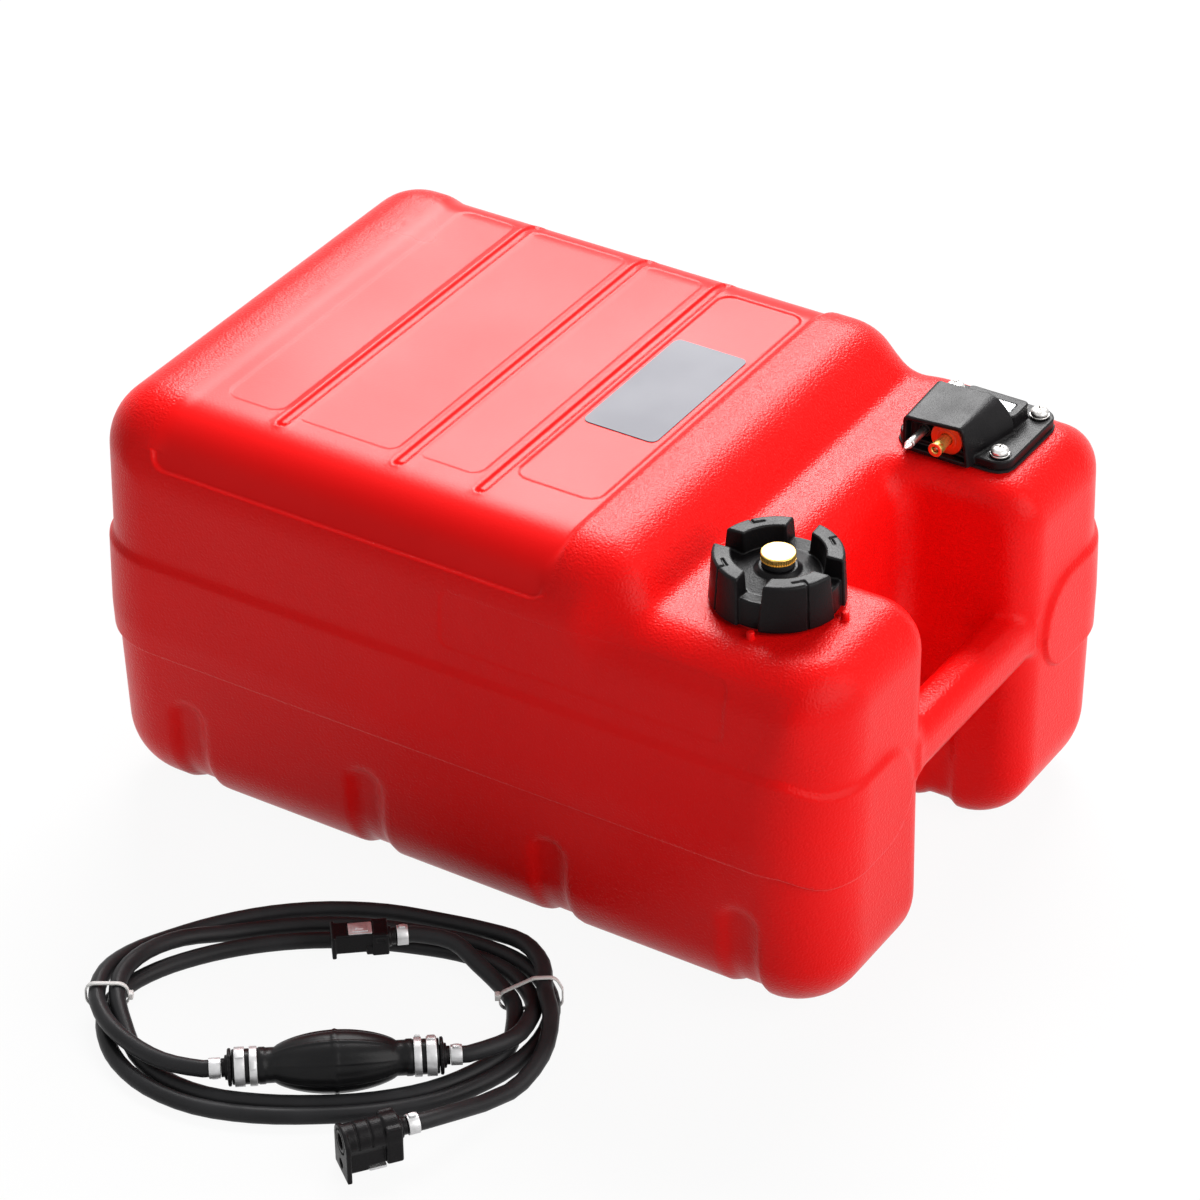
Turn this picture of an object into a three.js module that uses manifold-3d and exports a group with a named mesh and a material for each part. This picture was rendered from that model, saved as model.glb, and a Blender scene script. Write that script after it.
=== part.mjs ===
// Outboard fuel tank of 24 litres, with its fuel line lying beside it.
// Millimetres, +Z up, +X towards the carrying bar, +Y towards the fuel meter.
// The origin is on the floor under the middle of the tank.
import * as THREE from 'three';
import { mergeVertices } from 'three/addons/utils/BufferGeometryUtils.js';
import Module from 'manifold-3d';

const wasm = await Module();
wasm.setup();

// Tank shell: side view
const bodyLength = 437;
const bodyWidth = 309;
const bodyHeight = 233;
const deckDrop = 25;
const deckHeight = bodyHeight - deckDrop;
const shoulderToFront = 131.5;
const shoulderX = bodyLength / 2 - shoulderToFront;
const shoulderRun = 21;
const bottomRadius = 38;
const frontTopRadius = 25;
const shoulderTopRadius = 42;
const shoulderFootRadius = 26;
const backTopRadius = 30;
const sideRadius = 40;
const shellWall = 3.5;
const topDraft = 5.4;
const bottomDraft = 6;
const partingHeight = 111;
const leastFillet = 1;

// Tank shell: notch between the legs and the bar across it
const legWidth = 104.5;
const notchHalfWidth = bodyWidth / 2 - legWidth;
const notchDepth = 71.5;
const notchBackX = bodyLength / 2 - notchDepth;
const notchEdgeRadius = 18;
const barDepth = 24;
const barHeight = 24.5;
const barTopRadius = 10.5;
const barFootRadius = 3;
const barRoot = 9;

// Tank shell: belt, recessed top, grooves, panel and drain channels
const beltLow = 96.5;
const beltHigh = 152;
const beltProud = 2.5;
const beltEndMargin = 78.5;
const beltEndY = bodyWidth / 2 - beltEndMargin;
const recessDepth = 2.2;
const recessBackMargin = 42.5;
const recessBackX = -bodyLength / 2 + recessBackMargin;
const recessFrontMargin = 29;
const recessFrontX = shoulderX - recessFrontMargin;
const recessReach = 26;
const recessLow = bodyHeight - recessReach;
const recessCornerRadius = 16;
const grooveDepth = 1.2;
const grooveWidth = 4.4;
const grooveNearMargin = 42.5;
const grooveFarMargin = 26;
// Places of the grooves, as shares of the length of the recess
const grooveShares = [0.242, 0.542, 0.747];
const panelDepth = 0.8;
const panelToShoulder = 82.5;
const panelBackX = shoulderX - panelToShoulder;
const panelLength = 48.5;
const panelNearMargin = 64.5;
const panelNearY = -bodyWidth / 2 + panelNearMargin;
const panelFarMargin = 41.5;
const panelFarY = bodyWidth / 2 - panelFarMargin;
const channelHalfWidth = 9;
const channelDepth = 3;
const channelTop = 68;
const firstChannelMargin = 58.5;
const lastChannelMargin = 48.5;
const channelCount = 4;
const channelPitch = (bodyLength - firstChannelMargin - lastChannelMargin) / (channelCount - 1);

// Filler neck and its stop lugs
const capToFront = 65.1;
const capX = bodyLength / 2 - capToFront;
const capToSide = 66.7;
const capY = -bodyWidth / 2 + capToSide;
const neckRadius = 23.5;
const neckBoreRadius = 20;
const neckFlareRadius = 29;
const neckFlareHeight = 1;
const threadProud = 1.6;
const threadThickness = 1.6;
const threadPitch = 6;
const threadTurns = 1.25;
const lugRadius = 2.05;
const lugHeight = 4.8;
const lugDistance = 36.1;
const lugTurns = [-80.8, 2.9];

// Filler cap
const capLift = 1.9;
const capHeight = 25.1;
const capFootRadius = 33.5;
const capTopRadius = 31.9;
const capEdge = 1.4;
const capWaistRadius = 31.6;
const capInnerRadius = 21.9;
const capGap = 12;
const capGapFloor = 14.8;
const capMoatFloor = 12.8;
const capHubFloor = 17.8;
const capHubRadius = 9.4;
const capCavityRadius = 26.2;
const capRoof = 2.4;
const capTurnRest = 4;
const capGrooveWidth = 1.2;
const capGrooveDepth = 1;
const capGrooveTurn = 7;
const capBlocks = 4;
const gasketThickness = 2;
const gasketInnerRadius = 18.5;
const seat = 0.3;
const neckHeight = capLift + capMoatFloor - capRoof - gasketThickness - 2 * seat;

// Air screw in the cap
const ventHeadRadius = 8.7;
const ventHeadHeight = 4;
const ventKnurl = 0.35;
const ventKnurls = 32;
const ventShankRadius = 3.8;
const ventShankLength = 15;
const ventWasherRadius = 8.2;
const ventWasherHeight = 2.8;
const runningGap = 0.5;

// Fuel meter housing
const meterToFront = 53.9;
const meterX = bodyLength / 2 - meterToFront;
const meterToSide = 62;
const meterY = bodyWidth / 2 - meterToSide;
const meterGasket = 1.6;
const gasketLip = 0.8;
const screwPitchX = 48;
const screwPitchY = 42.5;
const flangeMargin = 7.8;
const flangeThickness = 5;
const flangeCorner = 9;
const hoodHeight = 24.4;
const hoodLength = 35;
const hoodMouthOffset = 34;
const hoodFootLeft = 23.6;
const hoodTopLeft = 17.3;
const hoodTopRight = 8.8;
const hoodMouthFootRight = 13.1;
const hoodMouthWaistRight = 12;
const hoodBackFootRight = 20.9;
const hoodBackWaistRight = 19.9;
const hoodWaist = 13.4;
const hoodCorner = 4;
const hoodWall = 2.2;
const hoodDepth = 26;
const platformLeft = 13.9;
const platformRight = 19.9;
const platformNear = 1;
const platformFar = 18.5;
const platformHeight = 13.4;
const platformCorner = 3;
const meterHoleRadius = 18;
const meterStemRadius = 16.5;
const meterStemDepth = 14;
const bossReach = 8;
const bossRadius = 5;
const screwPilotRadius = 2.2;
const screwClearRadius = 2.5;
const screwRelief = 5.5;
const reliefWall = 1.5;

// Fuel outlet: spigot, seal and guide pin
const spigotOffsetX = -1.6;
const outletHeight = 10.4;
const spigotBossRadius = 9.4;
const spigotBossSetback = 5.5;
const spigotRadius = 3.5;
const spigotWaistRadius = 3;
const spigotBore = 1.5;
const spigotTipLength = 4;
const spigotReach = 8.5;
const spigotSeatDepth = 13;
const crossHoleRadius = 0.9;
const sealRadius = 8.1;
const sealThickness = 1.6;
const pinPitch = 13.6;
const pinRadius = 2.2;
const pinReach = 14.5;
const pinTipLength = 4;
const pinTipRadius = 0.5;
const pinBossRadius = 3.9;
const pinSeatDepth = 12;
const fuelWayRadius = 2;

// Gauge window, dial and pointer
const windowX = 2.8;
const windowY = 6;
const windowLength = 25;
const windowWidth = 11;
const windowThickness = 1.2;
const windowLedge = 1.2;
const windowPocket = 5.4;
const dialThickness = 0.6;
const pointerHubRadius = 1.6;
const pointerPinRadius = 0.8;
const pointerLength = 4.6;
const pointerWidth = 1.1;
const pointerThickness = 0.8;
const pointerRise = 1.3;
const pointerSetback = 1.8;
const pointerRest = 36;

// Float arm, float and pickup
const pivotOffsetX = -7;
const pivotOffsetY = 6;
const pivotDrop = 8;
const earThickness = 2;
const earGap = 5;
const earWidth = 6;
const armWireRadius = 1.1;
const armLength = 136;
const armRest = 66;
const floatLength = 32;
const floatRadius = 11;
const floatEdge = 3;
const pickupOffsetX = -2.5;
const pickupOffsetY = -8.5;
const pickupRadius = 4;
const pickupBore = 2.6;
const pickupInset = 8;
const pickupFloorGap = 24;
const strainerRadius = 8;
const strainerWall = 1.6;
const strainerHeight = 24;
const strainerOverlap = 10;

// Housing screws and washers
const screwHeadRadius = 4.7;
const screwHeadHeight = 3.2;
const screwShankRadius = 1.9;
const screwLength = 14;
const screwSlotLength = 5;
const screwSlotWidth = 1;
const screwSlotDepth = 1.4;
const screwShoulderShare = 0.85;
const screwTurns = [18, 54, 90, 126];
const washerRadius = 5.1;
const washerThickness = 1;

// Information label
const labelLength = 42.6;
const labelWidth = 92;
const labelThickness = 0.4;
const labelCorner = 4;
const labelBackGap = 1.9;
const labelMiddleY = 16;
const labelGap = 0.05;

// Fuel line: coil of hose on the floor in front of the tank
const hoseRadius = 4.1;
const coilX = -6.2;
const coilToSide = 99.2;
const coilY = -bodyWidth / 2 - coilToSide;
const coilLong = 112.5;
const coilShort = 78.8;
const coilTurn = 32.4;
const stepsPerTurn = 24;
const hoseSides = 6;
const hoseLead = 8.4;
// Stations of each hose: degrees round the coil, offset outward and height of its centre.
const engineHoseStations = [
  [56, -25, 15.2], [45, -23.2, 13.6], [30, -25.3, 9.4], [15, -23, 5.6], [0, -19, 5.4], [-15, -15.4, 4.6],
  [-30, -8.4, 4.1], [-45, -6.7, 4.1], [-60, -5.4, 4.1], [-90, -6, 4.1], [-105, -5, 4.1], [-118, -3.4, 4.1],
  [-135, -5, 4.1], [-150, -8.6, 5.4], [-166, -12, 10.4], [-180, -11, 14.2], [-200, -8.8, 14], [-220, -9.5, 12.2],
  [-240, -11.5, 6], [-270, -12.6, 4.1], [-300, -12.6, 4.1], [-330, -5, 4.4], [-360, 0, 5.4], [-390, 1.4, 4.1],
  [-405, 2.4, 4.1], [-420, 3.8, 4.1], [-450, 2.9, 4.1], [-478, 6, 4.1], [-495, 4.6, 4.1], [-525, -2.4, 4.6],
  [-540, -5.2, 5.2], [-560, -12, 4.6], [-580, -19, 4.1], [-600, -23, 4.1], [-630, -25, 4.1], [-660, -23.4, 4.1],
  [-690, -15.2, 4.4], [-720, -9.2, 5.5], [-735, -7.2, 10.6], [-750, -4.2, 14.2], [-766, -8, 15.2],
];
const tankHoseStations = [
  [-121, -9.7, 15.2], [-135, -5.4, 14.9], [-150, -5, 14.4], [-165, -3.4, 14.2], [-180, -1, 14.1],
  [-200, 0.6, 11.8], [-220, 0.6, 6], [-240, 0, 4.1], [-270, 0, 4.1], [-300, 0, 4.1], [-315, 0.8, 7],
  [-327, 1, 11.4], [-338, 0.4, 13.8], [-360, -3.4, 14.2], [-372, 2, 13.8], [-382, 7.5, 12.2],
  [-392, 12.5, 8.6], [-404, 17, 6], [-413, 23, 10],
];

// Primer bulb with its fittings, bands and check valves
const bulbP = 8.4;
const bulbQ = -55.5;
const bulbHeading = 3.9;
const bulbAxisHeight = 16;
const bulbHalfLength = 29.4;
const bulbRadius = 15.3;
const bulbWall = 2.4;
const bulbNeckRadius = 8.7;
const bulbNeckEnd = 50;
const bulbNeckBore = 5.6;
const bulbRib = 0.5;
const bulbRibWidth = 2;
const bulbSwellShare = 1.35;
const fittingBarbRadius = 5.2;
const fittingBarbStart = 38;
const fittingFlangeRadius = 9.3;
const fittingFlangeThickness = 1.8;
const fittingStemRadius = 4.6;
const fittingStemEnd = 55.2;
const fittingBore = 2;
const valveChamberRadius = 4;
const valveChamberDepth = 5.2;
const valveLip = 0.8;
const valveMouthRadius = 2.8;
const valveDiscRadius = 3.3;
const valveDiscThickness = 1;
const bandThickness = 0.7;
const innerBandStart = 37.8;
const innerBandWidth = 3.7;
const outerBandStart = 43.8;
const outerBandWidth = 5;
const clampThickness = 0.7;
const clampWidth = 5.6;
const clampEarLength = 2.6;
const clampEarWidth = 3.2;
const clampEarHeight = 1;

// Engine connector, lying on the coil
const engineP = 2.3;
const engineQ = 39.4;
const engineHeading = 6.4;
const engineAxisHeight = 15.2;
const enginePlate = 2.2;
const enginePlateWidth = 15;
const enginePlateHeight = 13;
const engineBodyLength = 18;
const engineBodyWidth = 11.6;
const engineRoof = 6.5;
const engineKeel = 4.6;
const engineBlockLength = 8.4;
const engineBlockWidth = 14.4;
const engineBlockHeight = 12.6;
const connectorNeckLength = 4;
const connectorNeckRadius = 4.4;
const connectorBore = 1.5;
const engineSocketRadius = 3.9;
const engineSocketDepth = 8;
const engineLatchStart = 8.6;
const engineLatchLength = 12;
const engineLatchWidth = 9.4;
const engineLatchThickness = 1.6;
const engineLatchPocket = 3.9;

// Tank connector, standing on the floor
const tankConnectorP = 13;
const tankConnectorQ = -118.2;
const tankConnectorHeading = 19.8;
const tankConnectorAxisHeight = 19.3;
const tankPlate = 2.4;
const tankPlateWidth = 20;
const tankPlateHeight = 27;
const tankPlateArch = 9;
const tankBarrelRadius = 7.8;
const tankBarrelLength = 18;
const tankWebWidth = 12;
const tankWebFoot = 2.6;
const tankBlockLength = 8.4;
const tankBlockWidth = 17;
const tankBlockHeight = 22;
const tankSocketRadius = 4;
const tankSocketDepth = 14;
const tankPinHoleRadius = 2.55;
const tankPinHoleDepth = 9;
const tankLatchStart = 12.4;
const tankLatchLength = 9.4;
const tankLatchWidth = 10;
const tankLatchThickness = 1.6;
const tankLatchFoot = 0.8;
const tankLatchRoof = 5;

// Latch springs
const springRadius = 1.5;
const springWire = 0.25;
const springTurns = 1;
const springBore = 2.1;
const springSeat = 0.35;

// Cable ties
const tieThickness = 0.9;
const tieWidth = 2.4;
const leftTieAngle = -182;
const rightTieAngle = 2;
// Corners of each tie's inside: offset outward, height and fillet radius.
const leftTieCorners = [
  [-15.9, 19, 4.6], [-15.9, 9.4, 4.6], [-10.4, 0.95, 4], [-1.2, 0.95, 4], [4.3, 9.4, 4.6], [4.3, 19, 4.6],
];
const rightTieCorners = [
  [-8.6, 19, 5], [-25.4, 10.2, 4.4], [-25.4, 0.95, 4.4], [4.9, 0.95, 4.4], [4.9, 12, 4.4], [1.7, 19, 4.4],
];

// Counts and shares
const filletShare = 0.49;
const bodySteps = 4;
const cavitySteps = 3;
const roundSides = 32;
const smallSides = 16;
const springSides = 5;
const springSteps = 8;
const overrun = 1;
const weldGap = 1e-4;
const degree = Math.PI / 180;

// Materials
function materialOf(color, roughness, metalness = 0) {
  return new THREE.MeshStandardMaterial({ color, roughness, metalness });
}

const redPlastic = materialOf(0xd8120e, 0.45);
const blackPlastic = materialOf(0x141416, 0.5);
const blackRubber = materialOf(0x1b1b1c, 0.7);
const redRubber = materialOf(0xc8200c, 0.55);
const greyLabel = materialOf(0x707078, 0.5);
const brass = materialOf(0xc89a3c, 0.3, 1);
const steel = materialOf(0xb8bac0, 0.3, 1);
const whitePlastic = materialOf(0xe8e8e8, 0.5);
const clearPlastic = materialOf(0xd8dce0, 0.1);
const floatPlastic = materialOf(0x303034, 0.7);

// Solids: closed meshes are joined and cut, then given back as geometry.
function solidOf(geometry) {
  const bare = new THREE.BufferGeometry();
  bare.setAttribute('position', geometry.getAttribute('position'));
  bare.setIndex(geometry.getIndex());
  const merged = mergeVertices(bare, weldGap);
  return new wasm.Manifold(new wasm.Mesh({
    numProp: 3,
    vertProperties: new Float32Array(merged.getAttribute('position').array),
    triVerts: new Uint32Array(merged.getIndex().array),
  }));
}

function geometryOf(solid) {
  const mesh = solid.getMesh();
  const geometry = new THREE.BufferGeometry();
  geometry.setAttribute('position', new THREE.BufferAttribute(new Float32Array(mesh.vertProperties), 3));
  geometry.setIndex(new THREE.BufferAttribute(new Uint32Array(mesh.triVerts), 1));
  return geometry;
}

const joined = (geometries) => geometries.map(solidOf).reduce((a, b) => a.add(b));
const cutFrom = (solid, geometries) => geometries.map(solidOf).reduce((a, b) => a.subtract(b), solid);

// A block between two corners.
function block(lowX, highX, lowY, highY, lowZ, highZ) {
  const geometry = new THREE.BoxGeometry(highX - lowX, highY - lowY, highZ - lowZ);
  return geometry.translate((lowX + highX) / 2, (lowY + highY) / 2, (lowZ + highZ) / 2);
}

// A round bar along Z, Y or X between two stations.
function barZ(radius, low, high, x = 0, y = 0, sides = smallSides, topRadius = radius) {
  const geometry = new THREE.CylinderGeometry(topRadius, radius, high - low, sides);
  return geometry.rotateX(Math.PI / 2).translate(x, y, (low + high) / 2);
}

function barY(radius, low, high, x = 0, z = 0, sides = smallSides, farRadius = radius) {
  const geometry = new THREE.CylinderGeometry(farRadius, radius, high - low, sides);
  return geometry.translate(x, (low + high) / 2, z);
}

function barX(radius, low, high, y = 0, z = 0, sides = smallSides) {
  const geometry = new THREE.CylinderGeometry(radius, radius, high - low, sides);
  return geometry.rotateZ(-Math.PI / 2).translate((low + high) / 2, y, z);
}

// A solid turned about Z, or about X for pieces on a hose, from [radius, station] pairs.
function turnedZ(profile, sides = roundSides) {
  const points = profile.map(([radius, station]) => new THREE.Vector2(radius, station));
  return new THREE.LatheGeometry(points, sides).rotateX(Math.PI / 2);
}

const turnedX = (profile, sides = roundSides) => turnedZ(profile, sides).rotateY(Math.PI / 2);

// Fillets each corner [x, y, radius] of a closed outline with `steps` chords to an arc.
function filleted(corners, steps) {
  const points = [];
  corners.forEach(([x, y, radius], i) => {
    const here = new THREE.Vector2(x, y);
    const [lastX, lastY] = corners[(i + corners.length - 1) % corners.length];
    const [nextX, nextY] = corners[(i + 1) % corners.length];
    const back = new THREE.Vector2(lastX, lastY).sub(here);
    const ahead = new THREE.Vector2(nextX, nextY).sub(here);
    const room = filletShare * Math.min(back.length(), ahead.length());
    back.normalize();
    ahead.normalize();
    const half = Math.acos(THREE.MathUtils.clamp(back.dot(ahead), -1, 1)) / 2;
    const reach = Math.min(radius / Math.tan(half), room);
    const arc = reach * Math.tan(half);
    const centre = back.clone().add(ahead).setLength(arc / Math.sin(half)).add(here);
    const first = back.multiplyScalar(reach).add(here).sub(centre);
    const last = ahead.multiplyScalar(reach).add(here).sub(centre);
    const sweep = Math.atan2(first.cross(last), first.dot(last));
    for (let k = 0; k <= steps; k += 1) {
      points.push(first.clone().rotateAround(new THREE.Vector2(), sweep * k / steps).add(centre));
    }
  });
  return points;
}

// Moves every side of a counterclockwise outline inward, and its fillets with it.
function insetCorners(corners, inset) {
  const sides = corners.map(([x, y], i) => {
    const [nextX, nextY] = corners[(i + 1) % corners.length];
    const along = new THREE.Vector2(nextX - x, nextY - y).normalize();
    const point = new THREE.Vector2(x - along.y * inset, y + along.x * inset);
    return { along, point };
  });
  return corners.map(([, , radius], i) => {
    const before = sides[(i + corners.length - 1) % corners.length];
    const after = sides[i];
    const turn = before.along.cross(after.along);
    const reach = after.point.clone().sub(before.point).cross(after.along) / turn;
    const corner = before.point.clone().addScaledVector(before.along, reach);
    const fillet = turn > 0 ? Math.max(radius - inset, leastFillet) : radius + inset;
    return [corner.x, corner.y, fillet];
  });
}

// A closed skin through rings of equally many points; the first ring faces the start.
function skin(rings, capOutline) {
  const count = rings[0].length;
  const positions = rings.flatMap((ring) => ring.flatMap((point) => point.toArray()));
  const index = [];
  for (let i = 0; i + 1 < rings.length; i += 1) {
    for (let j = 0; j < count; j += 1) {
      const a = i * count + j;
      const b = i * count + (j + 1) % count;
      index.push(a, b + count, b, a, a + count, b + count);
    }
  }
  const last = (rings.length - 1) * count;
  THREE.ShapeUtils.triangulateShape(capOutline, []).forEach(([a, b, c]) => {
    index.push(a, b, c, last + a, last + c, last + b);
  });
  const geometry = new THREE.BufferGeometry();
  geometry.setAttribute('position', new THREE.Float32BufferAttribute(positions, 3));
  geometry.setIndex(index);
  return geometry;
}

// Extrudes an outline in X and Z along Y.
function crossPrism(corners, nearY, farY, steps) {
  const outline = filleted(corners, steps);
  const ring = (y) => outline.map((point) => new THREE.Vector3(point.x, y, point.y));
  return skin([ring(nearY), ring(farY)], outline);
}

// Extrudes an outline in X and Y upward.
function slab(corners, lowZ, highZ, steps) {
  const shape = new THREE.Shape(filleted(corners, steps));
  return new THREE.ExtrudeGeometry(shape, { depth: highZ - lowZ, bevelEnabled: false }).translate(0, 0, lowZ);
}

const rectangle = (lowX, highX, lowY, highY, radius) => [
  [lowX, lowY, radius], [highX, lowY, radius], [highX, highY, radius], [lowX, highY, radius],
];

// Side view of the shell up to a front wall at frontX: x, z and fillet radius.
const sideCorners = (frontX) => [
  [-bodyLength / 2, 0, bottomRadius],
  [frontX, 0, bottomRadius],
  [frontX, deckHeight, frontTopRadius],
  [shoulderX + shoulderRun, deckHeight, shoulderFootRadius],
  [shoulderX, bodyHeight, shoulderTopRadius],
  [-bodyLength / 2, bodyHeight, backTopRadius],
];

// The sides lean in above and below the parting line of the mould.
function draftShare(z) {
  const above = topDraft * (z - partingHeight) / (bodyHeight - partingHeight);
  const below = bottomDraft * (partingHeight - z) / partingHeight;
  return 1 - Math.max(above, below, 0) / (bodyWidth / 2);
}

// One ring of the body, with a point on each wall at the parting line.
function bodyRing(corners, y, inset, steps) {
  const outline = filleted(insetCorners(corners, inset), steps);
  const withParting = outline.flatMap((point, i) => {
    const next = outline[(i + 1) % outline.length];
    const crosses = (point.y - partingHeight) * (next.y - partingHeight) < 0;
    return crosses ? [point, point.clone().lerp(next, (partingHeight - point.y) / (next.y - point.y))] : [point];
  });
  return withParting.map((point) => new THREE.Vector3(point.x, y * draftShare(point.y), point.y));
}

// One leg, with its long edges rounded by nearRadius and farRadius.
function leg(nearY, farY, nearRadius, farRadius, inset, steps) {
  const corners = sideCorners(bodyLength / 2);
  const rings = [];
  for (let k = 0; k <= steps; k += 1) {
    const turn = Math.PI / 2 * k / steps;
    const y = nearY + nearRadius * (1 - Math.cos(turn));
    rings.push(bodyRing(corners, y, inset + nearRadius * (1 - Math.sin(turn)), steps));
  }
  for (let k = steps; k >= 0; k -= 1) {
    const turn = Math.PI / 2 * k / steps;
    const y = farY - farRadius * (1 - Math.cos(turn));
    rings.push(bodyRing(corners, y, inset + farRadius * (1 - Math.sin(turn)), steps));
  }
  return skin(rings, rings[0].map((point) => new THREE.Vector2(point.x, point.z)));
}

// The whole body shape, moved inward by `inset`.
function tankBody(inset, steps) {
  const side = bodyWidth / 2 - inset;
  const notch = notchHalfWidth + inset;
  const joint = notchHalfWidth + notchEdgeRadius;
  const outer = sideRadius - inset;
  const inner = notchEdgeRadius - inset;
  const middle = [-joint, joint].map((y) => bodyRing(sideCorners(notchBackX), y, inset, steps));
  return joined([
    leg(-side, -notch, outer, inner, inset, steps),
    leg(notch, side, inner, outer, inset, steps),
    skin(middle, middle[0].map((point) => new THREE.Vector2(point.x, point.z))),
  ]);
}

const barFrontX = bodyLength / 2;
const pastSide = bodyWidth / 2 + beltProud + overrun;
const pastTop = bodyHeight + overrun;

function carryingBar() {
  const low = partingHeight;
  const high = partingHeight + barHeight;
  const back = barFrontX - barDepth;
  const corners = [
    [back, low, barFootRadius], [barFrontX, low, barFootRadius],
    [barFrontX, high, barTopRadius], [back, high, barTopRadius],
  ];
  return crossPrism(corners, -notchHalfWidth - barRoot, notchHalfWidth + barRoot, bodySteps);
}

// The band round the body, which stops short of the notch at the front.
function belt() {
  const band = block(-bodyLength, bodyLength, -pastSide, pastSide, beltLow, beltHigh);
  const front = block(notchBackX - notchEdgeRadius, bodyLength, -beltEndY, beltEndY, 0, bodyHeight);
  return cutFrom(tankBody(-beltProud, bodySteps).intersect(solidOf(band)), [front]);
}

function recessRegion() {
  const corners = rectangle(recessBackX, recessFrontX, recessLow, pastTop + recessCornerRadius, recessCornerRadius);
  return crossPrism(corners, -pastSide, pastSide, cavitySteps);
}

function grooveRegions() {
  const near = -bodyWidth / 2 + grooveNearMargin;
  const far = bodyWidth / 2 - grooveFarMargin;
  return grooveShares.map((share) => {
    const x = recessBackX + (recessFrontX - recessBackX) * share;
    return block(x - grooveWidth / 2, x + grooveWidth / 2, near, far, recessLow, pastTop);
  });
}

function channelRegions() {
  return Array.from({ length: channelCount }, (_, i) => {
    const x = -bodyLength / 2 + firstChannelMargin + i * channelPitch;
    const corners = rectangle(x - channelHalfWidth, x + channelHalfWidth, -overrun, channelTop, channelHalfWidth);
    return crossPrism(corners, -pastSide, pastSide, cavitySteps);
  });
}

const screwPlaces = [[-1, -1], [1, -1], [1, 1], [-1, 1]].map(([i, j]) => (
  [meterX + i * screwPitchX / 2, meterY + j * screwPitchY / 2]
));

// The external thread of the filler neck: one ridge that climbs round it.
function neckThread() {
  const places = [];
  const low = deckHeight + neckHeight - threadPitch * threadTurns - threadThickness;
  const count = Math.round(stepsPerTurn * threadTurns);
  const middle = neckRadius + threadProud / 2 - overrun / 2;
  for (let i = 0; i <= count; i += 1) {
    const turn = 2 * Math.PI * i / stepsPerTurn;
    const z = low + threadPitch * i / stepsPerTurn;
    places.push(new THREE.Vector3(capX + middle * Math.cos(turn), capY + middle * Math.sin(turn), z));
  }
  const rings = places.map((place) => {
    const out = new THREE.Vector3(place.x - capX, place.y - capY, 0).normalize();
    const reach = (threadProud + overrun) / 2;
    return [[-1, 1], [-1, -1], [1, -1], [1, 1]].map(([i, j]) => (
      place.clone().addScaledVector(out, i * reach).add(new THREE.Vector3(0, 0, j * threadThickness / 2))
    ));
  });
  const cap = [[-1, 1], [-1, -1], [1, -1], [1, 1]].map(([i, j]) => new THREE.Vector2(i, j));
  return skin(rings, cap);
}

function neckAndLugs() {
  const top = deckHeight + neckHeight;
  const flare = deckHeight + neckFlareHeight;
  return [
    barZ(neckRadius, deckHeight - shellWall, top, capX, capY, roundSides),
    barZ(neckFlareRadius, deckHeight - shellWall, flare, capX, capY, roundSides),
    neckThread(),
    ...lugTurns.map((turn) => {
      const x = capX + lugDistance * Math.cos(turn * degree);
      const y = capY + lugDistance * Math.sin(turn * degree);
      return barZ(lugRadius, deckHeight - shellWall, deckHeight + lugHeight, x, y, smallSides / 2);
    }),
  ];
}

function tankShell() {
  const recess = solidOf(recessRegion()).subtract(tankBody(recessDepth, bodySteps));
  const grooves = joined(grooveRegions()).subtract(tankBody(recessDepth + grooveDepth, bodySteps));
  const channels = joined(channelRegions()).subtract(tankBody(channelDepth, cavitySteps));
  const panelLow = bodyHeight - recessDepth - panelDepth;
  const panel = block(panelBackX, panelBackX + panelLength, panelNearY, panelFarY, panelLow, pastTop);
  const skinTop = deckHeight - shellWall;
  const bosses = screwPlaces.map(([x, y]) => barZ(bossRadius, skinTop - bossReach, skinTop + overrun, x, y));
  const pilots = screwPlaces.map(([x, y]) => (
    barZ(screwPilotRadius, skinTop - bossReach - overrun, deckHeight + overrun, x, y, smallSides / 2)
  ));
  let shell = tankBody(0, bodySteps).add(belt()).add(solidOf(carryingBar()));
  shell = shell.subtract(recess).subtract(grooves).subtract(channels);
  shell = cutFrom(shell, [panel]);
  shell = shell.add(joined(neckAndLugs()));
  shell = shell.subtract(tankBody(shellWall, cavitySteps));
  shell = shell.add(joined(bosses));
  return geometryOf(cutFrom(shell, [
    barZ(neckBoreRadius, skinTop - overrun, deckHeight + neckHeight + overrun, capX, capY, roundSides),
    barZ(meterHoleRadius, skinTop - overrun, deckHeight + overrun, meterX, meterY, roundSides),
    ...pilots,
  ]));
}

function labelPlate() {
  const low = bodyHeight - recessDepth - panelDepth + labelGap;
  const back = panelBackX + labelBackGap;
  const near = labelMiddleY - labelWidth / 2;
  const corners = rectangle(back, back + labelLength, near, near + labelWidth, labelCorner);
  return slab(corners, low, low + labelThickness, cavitySteps);
}

// Filler cap, in its own frame: z = 0 at the foot of the cap.
const capRoofUnder = capMoatFloor - capRoof;

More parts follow.
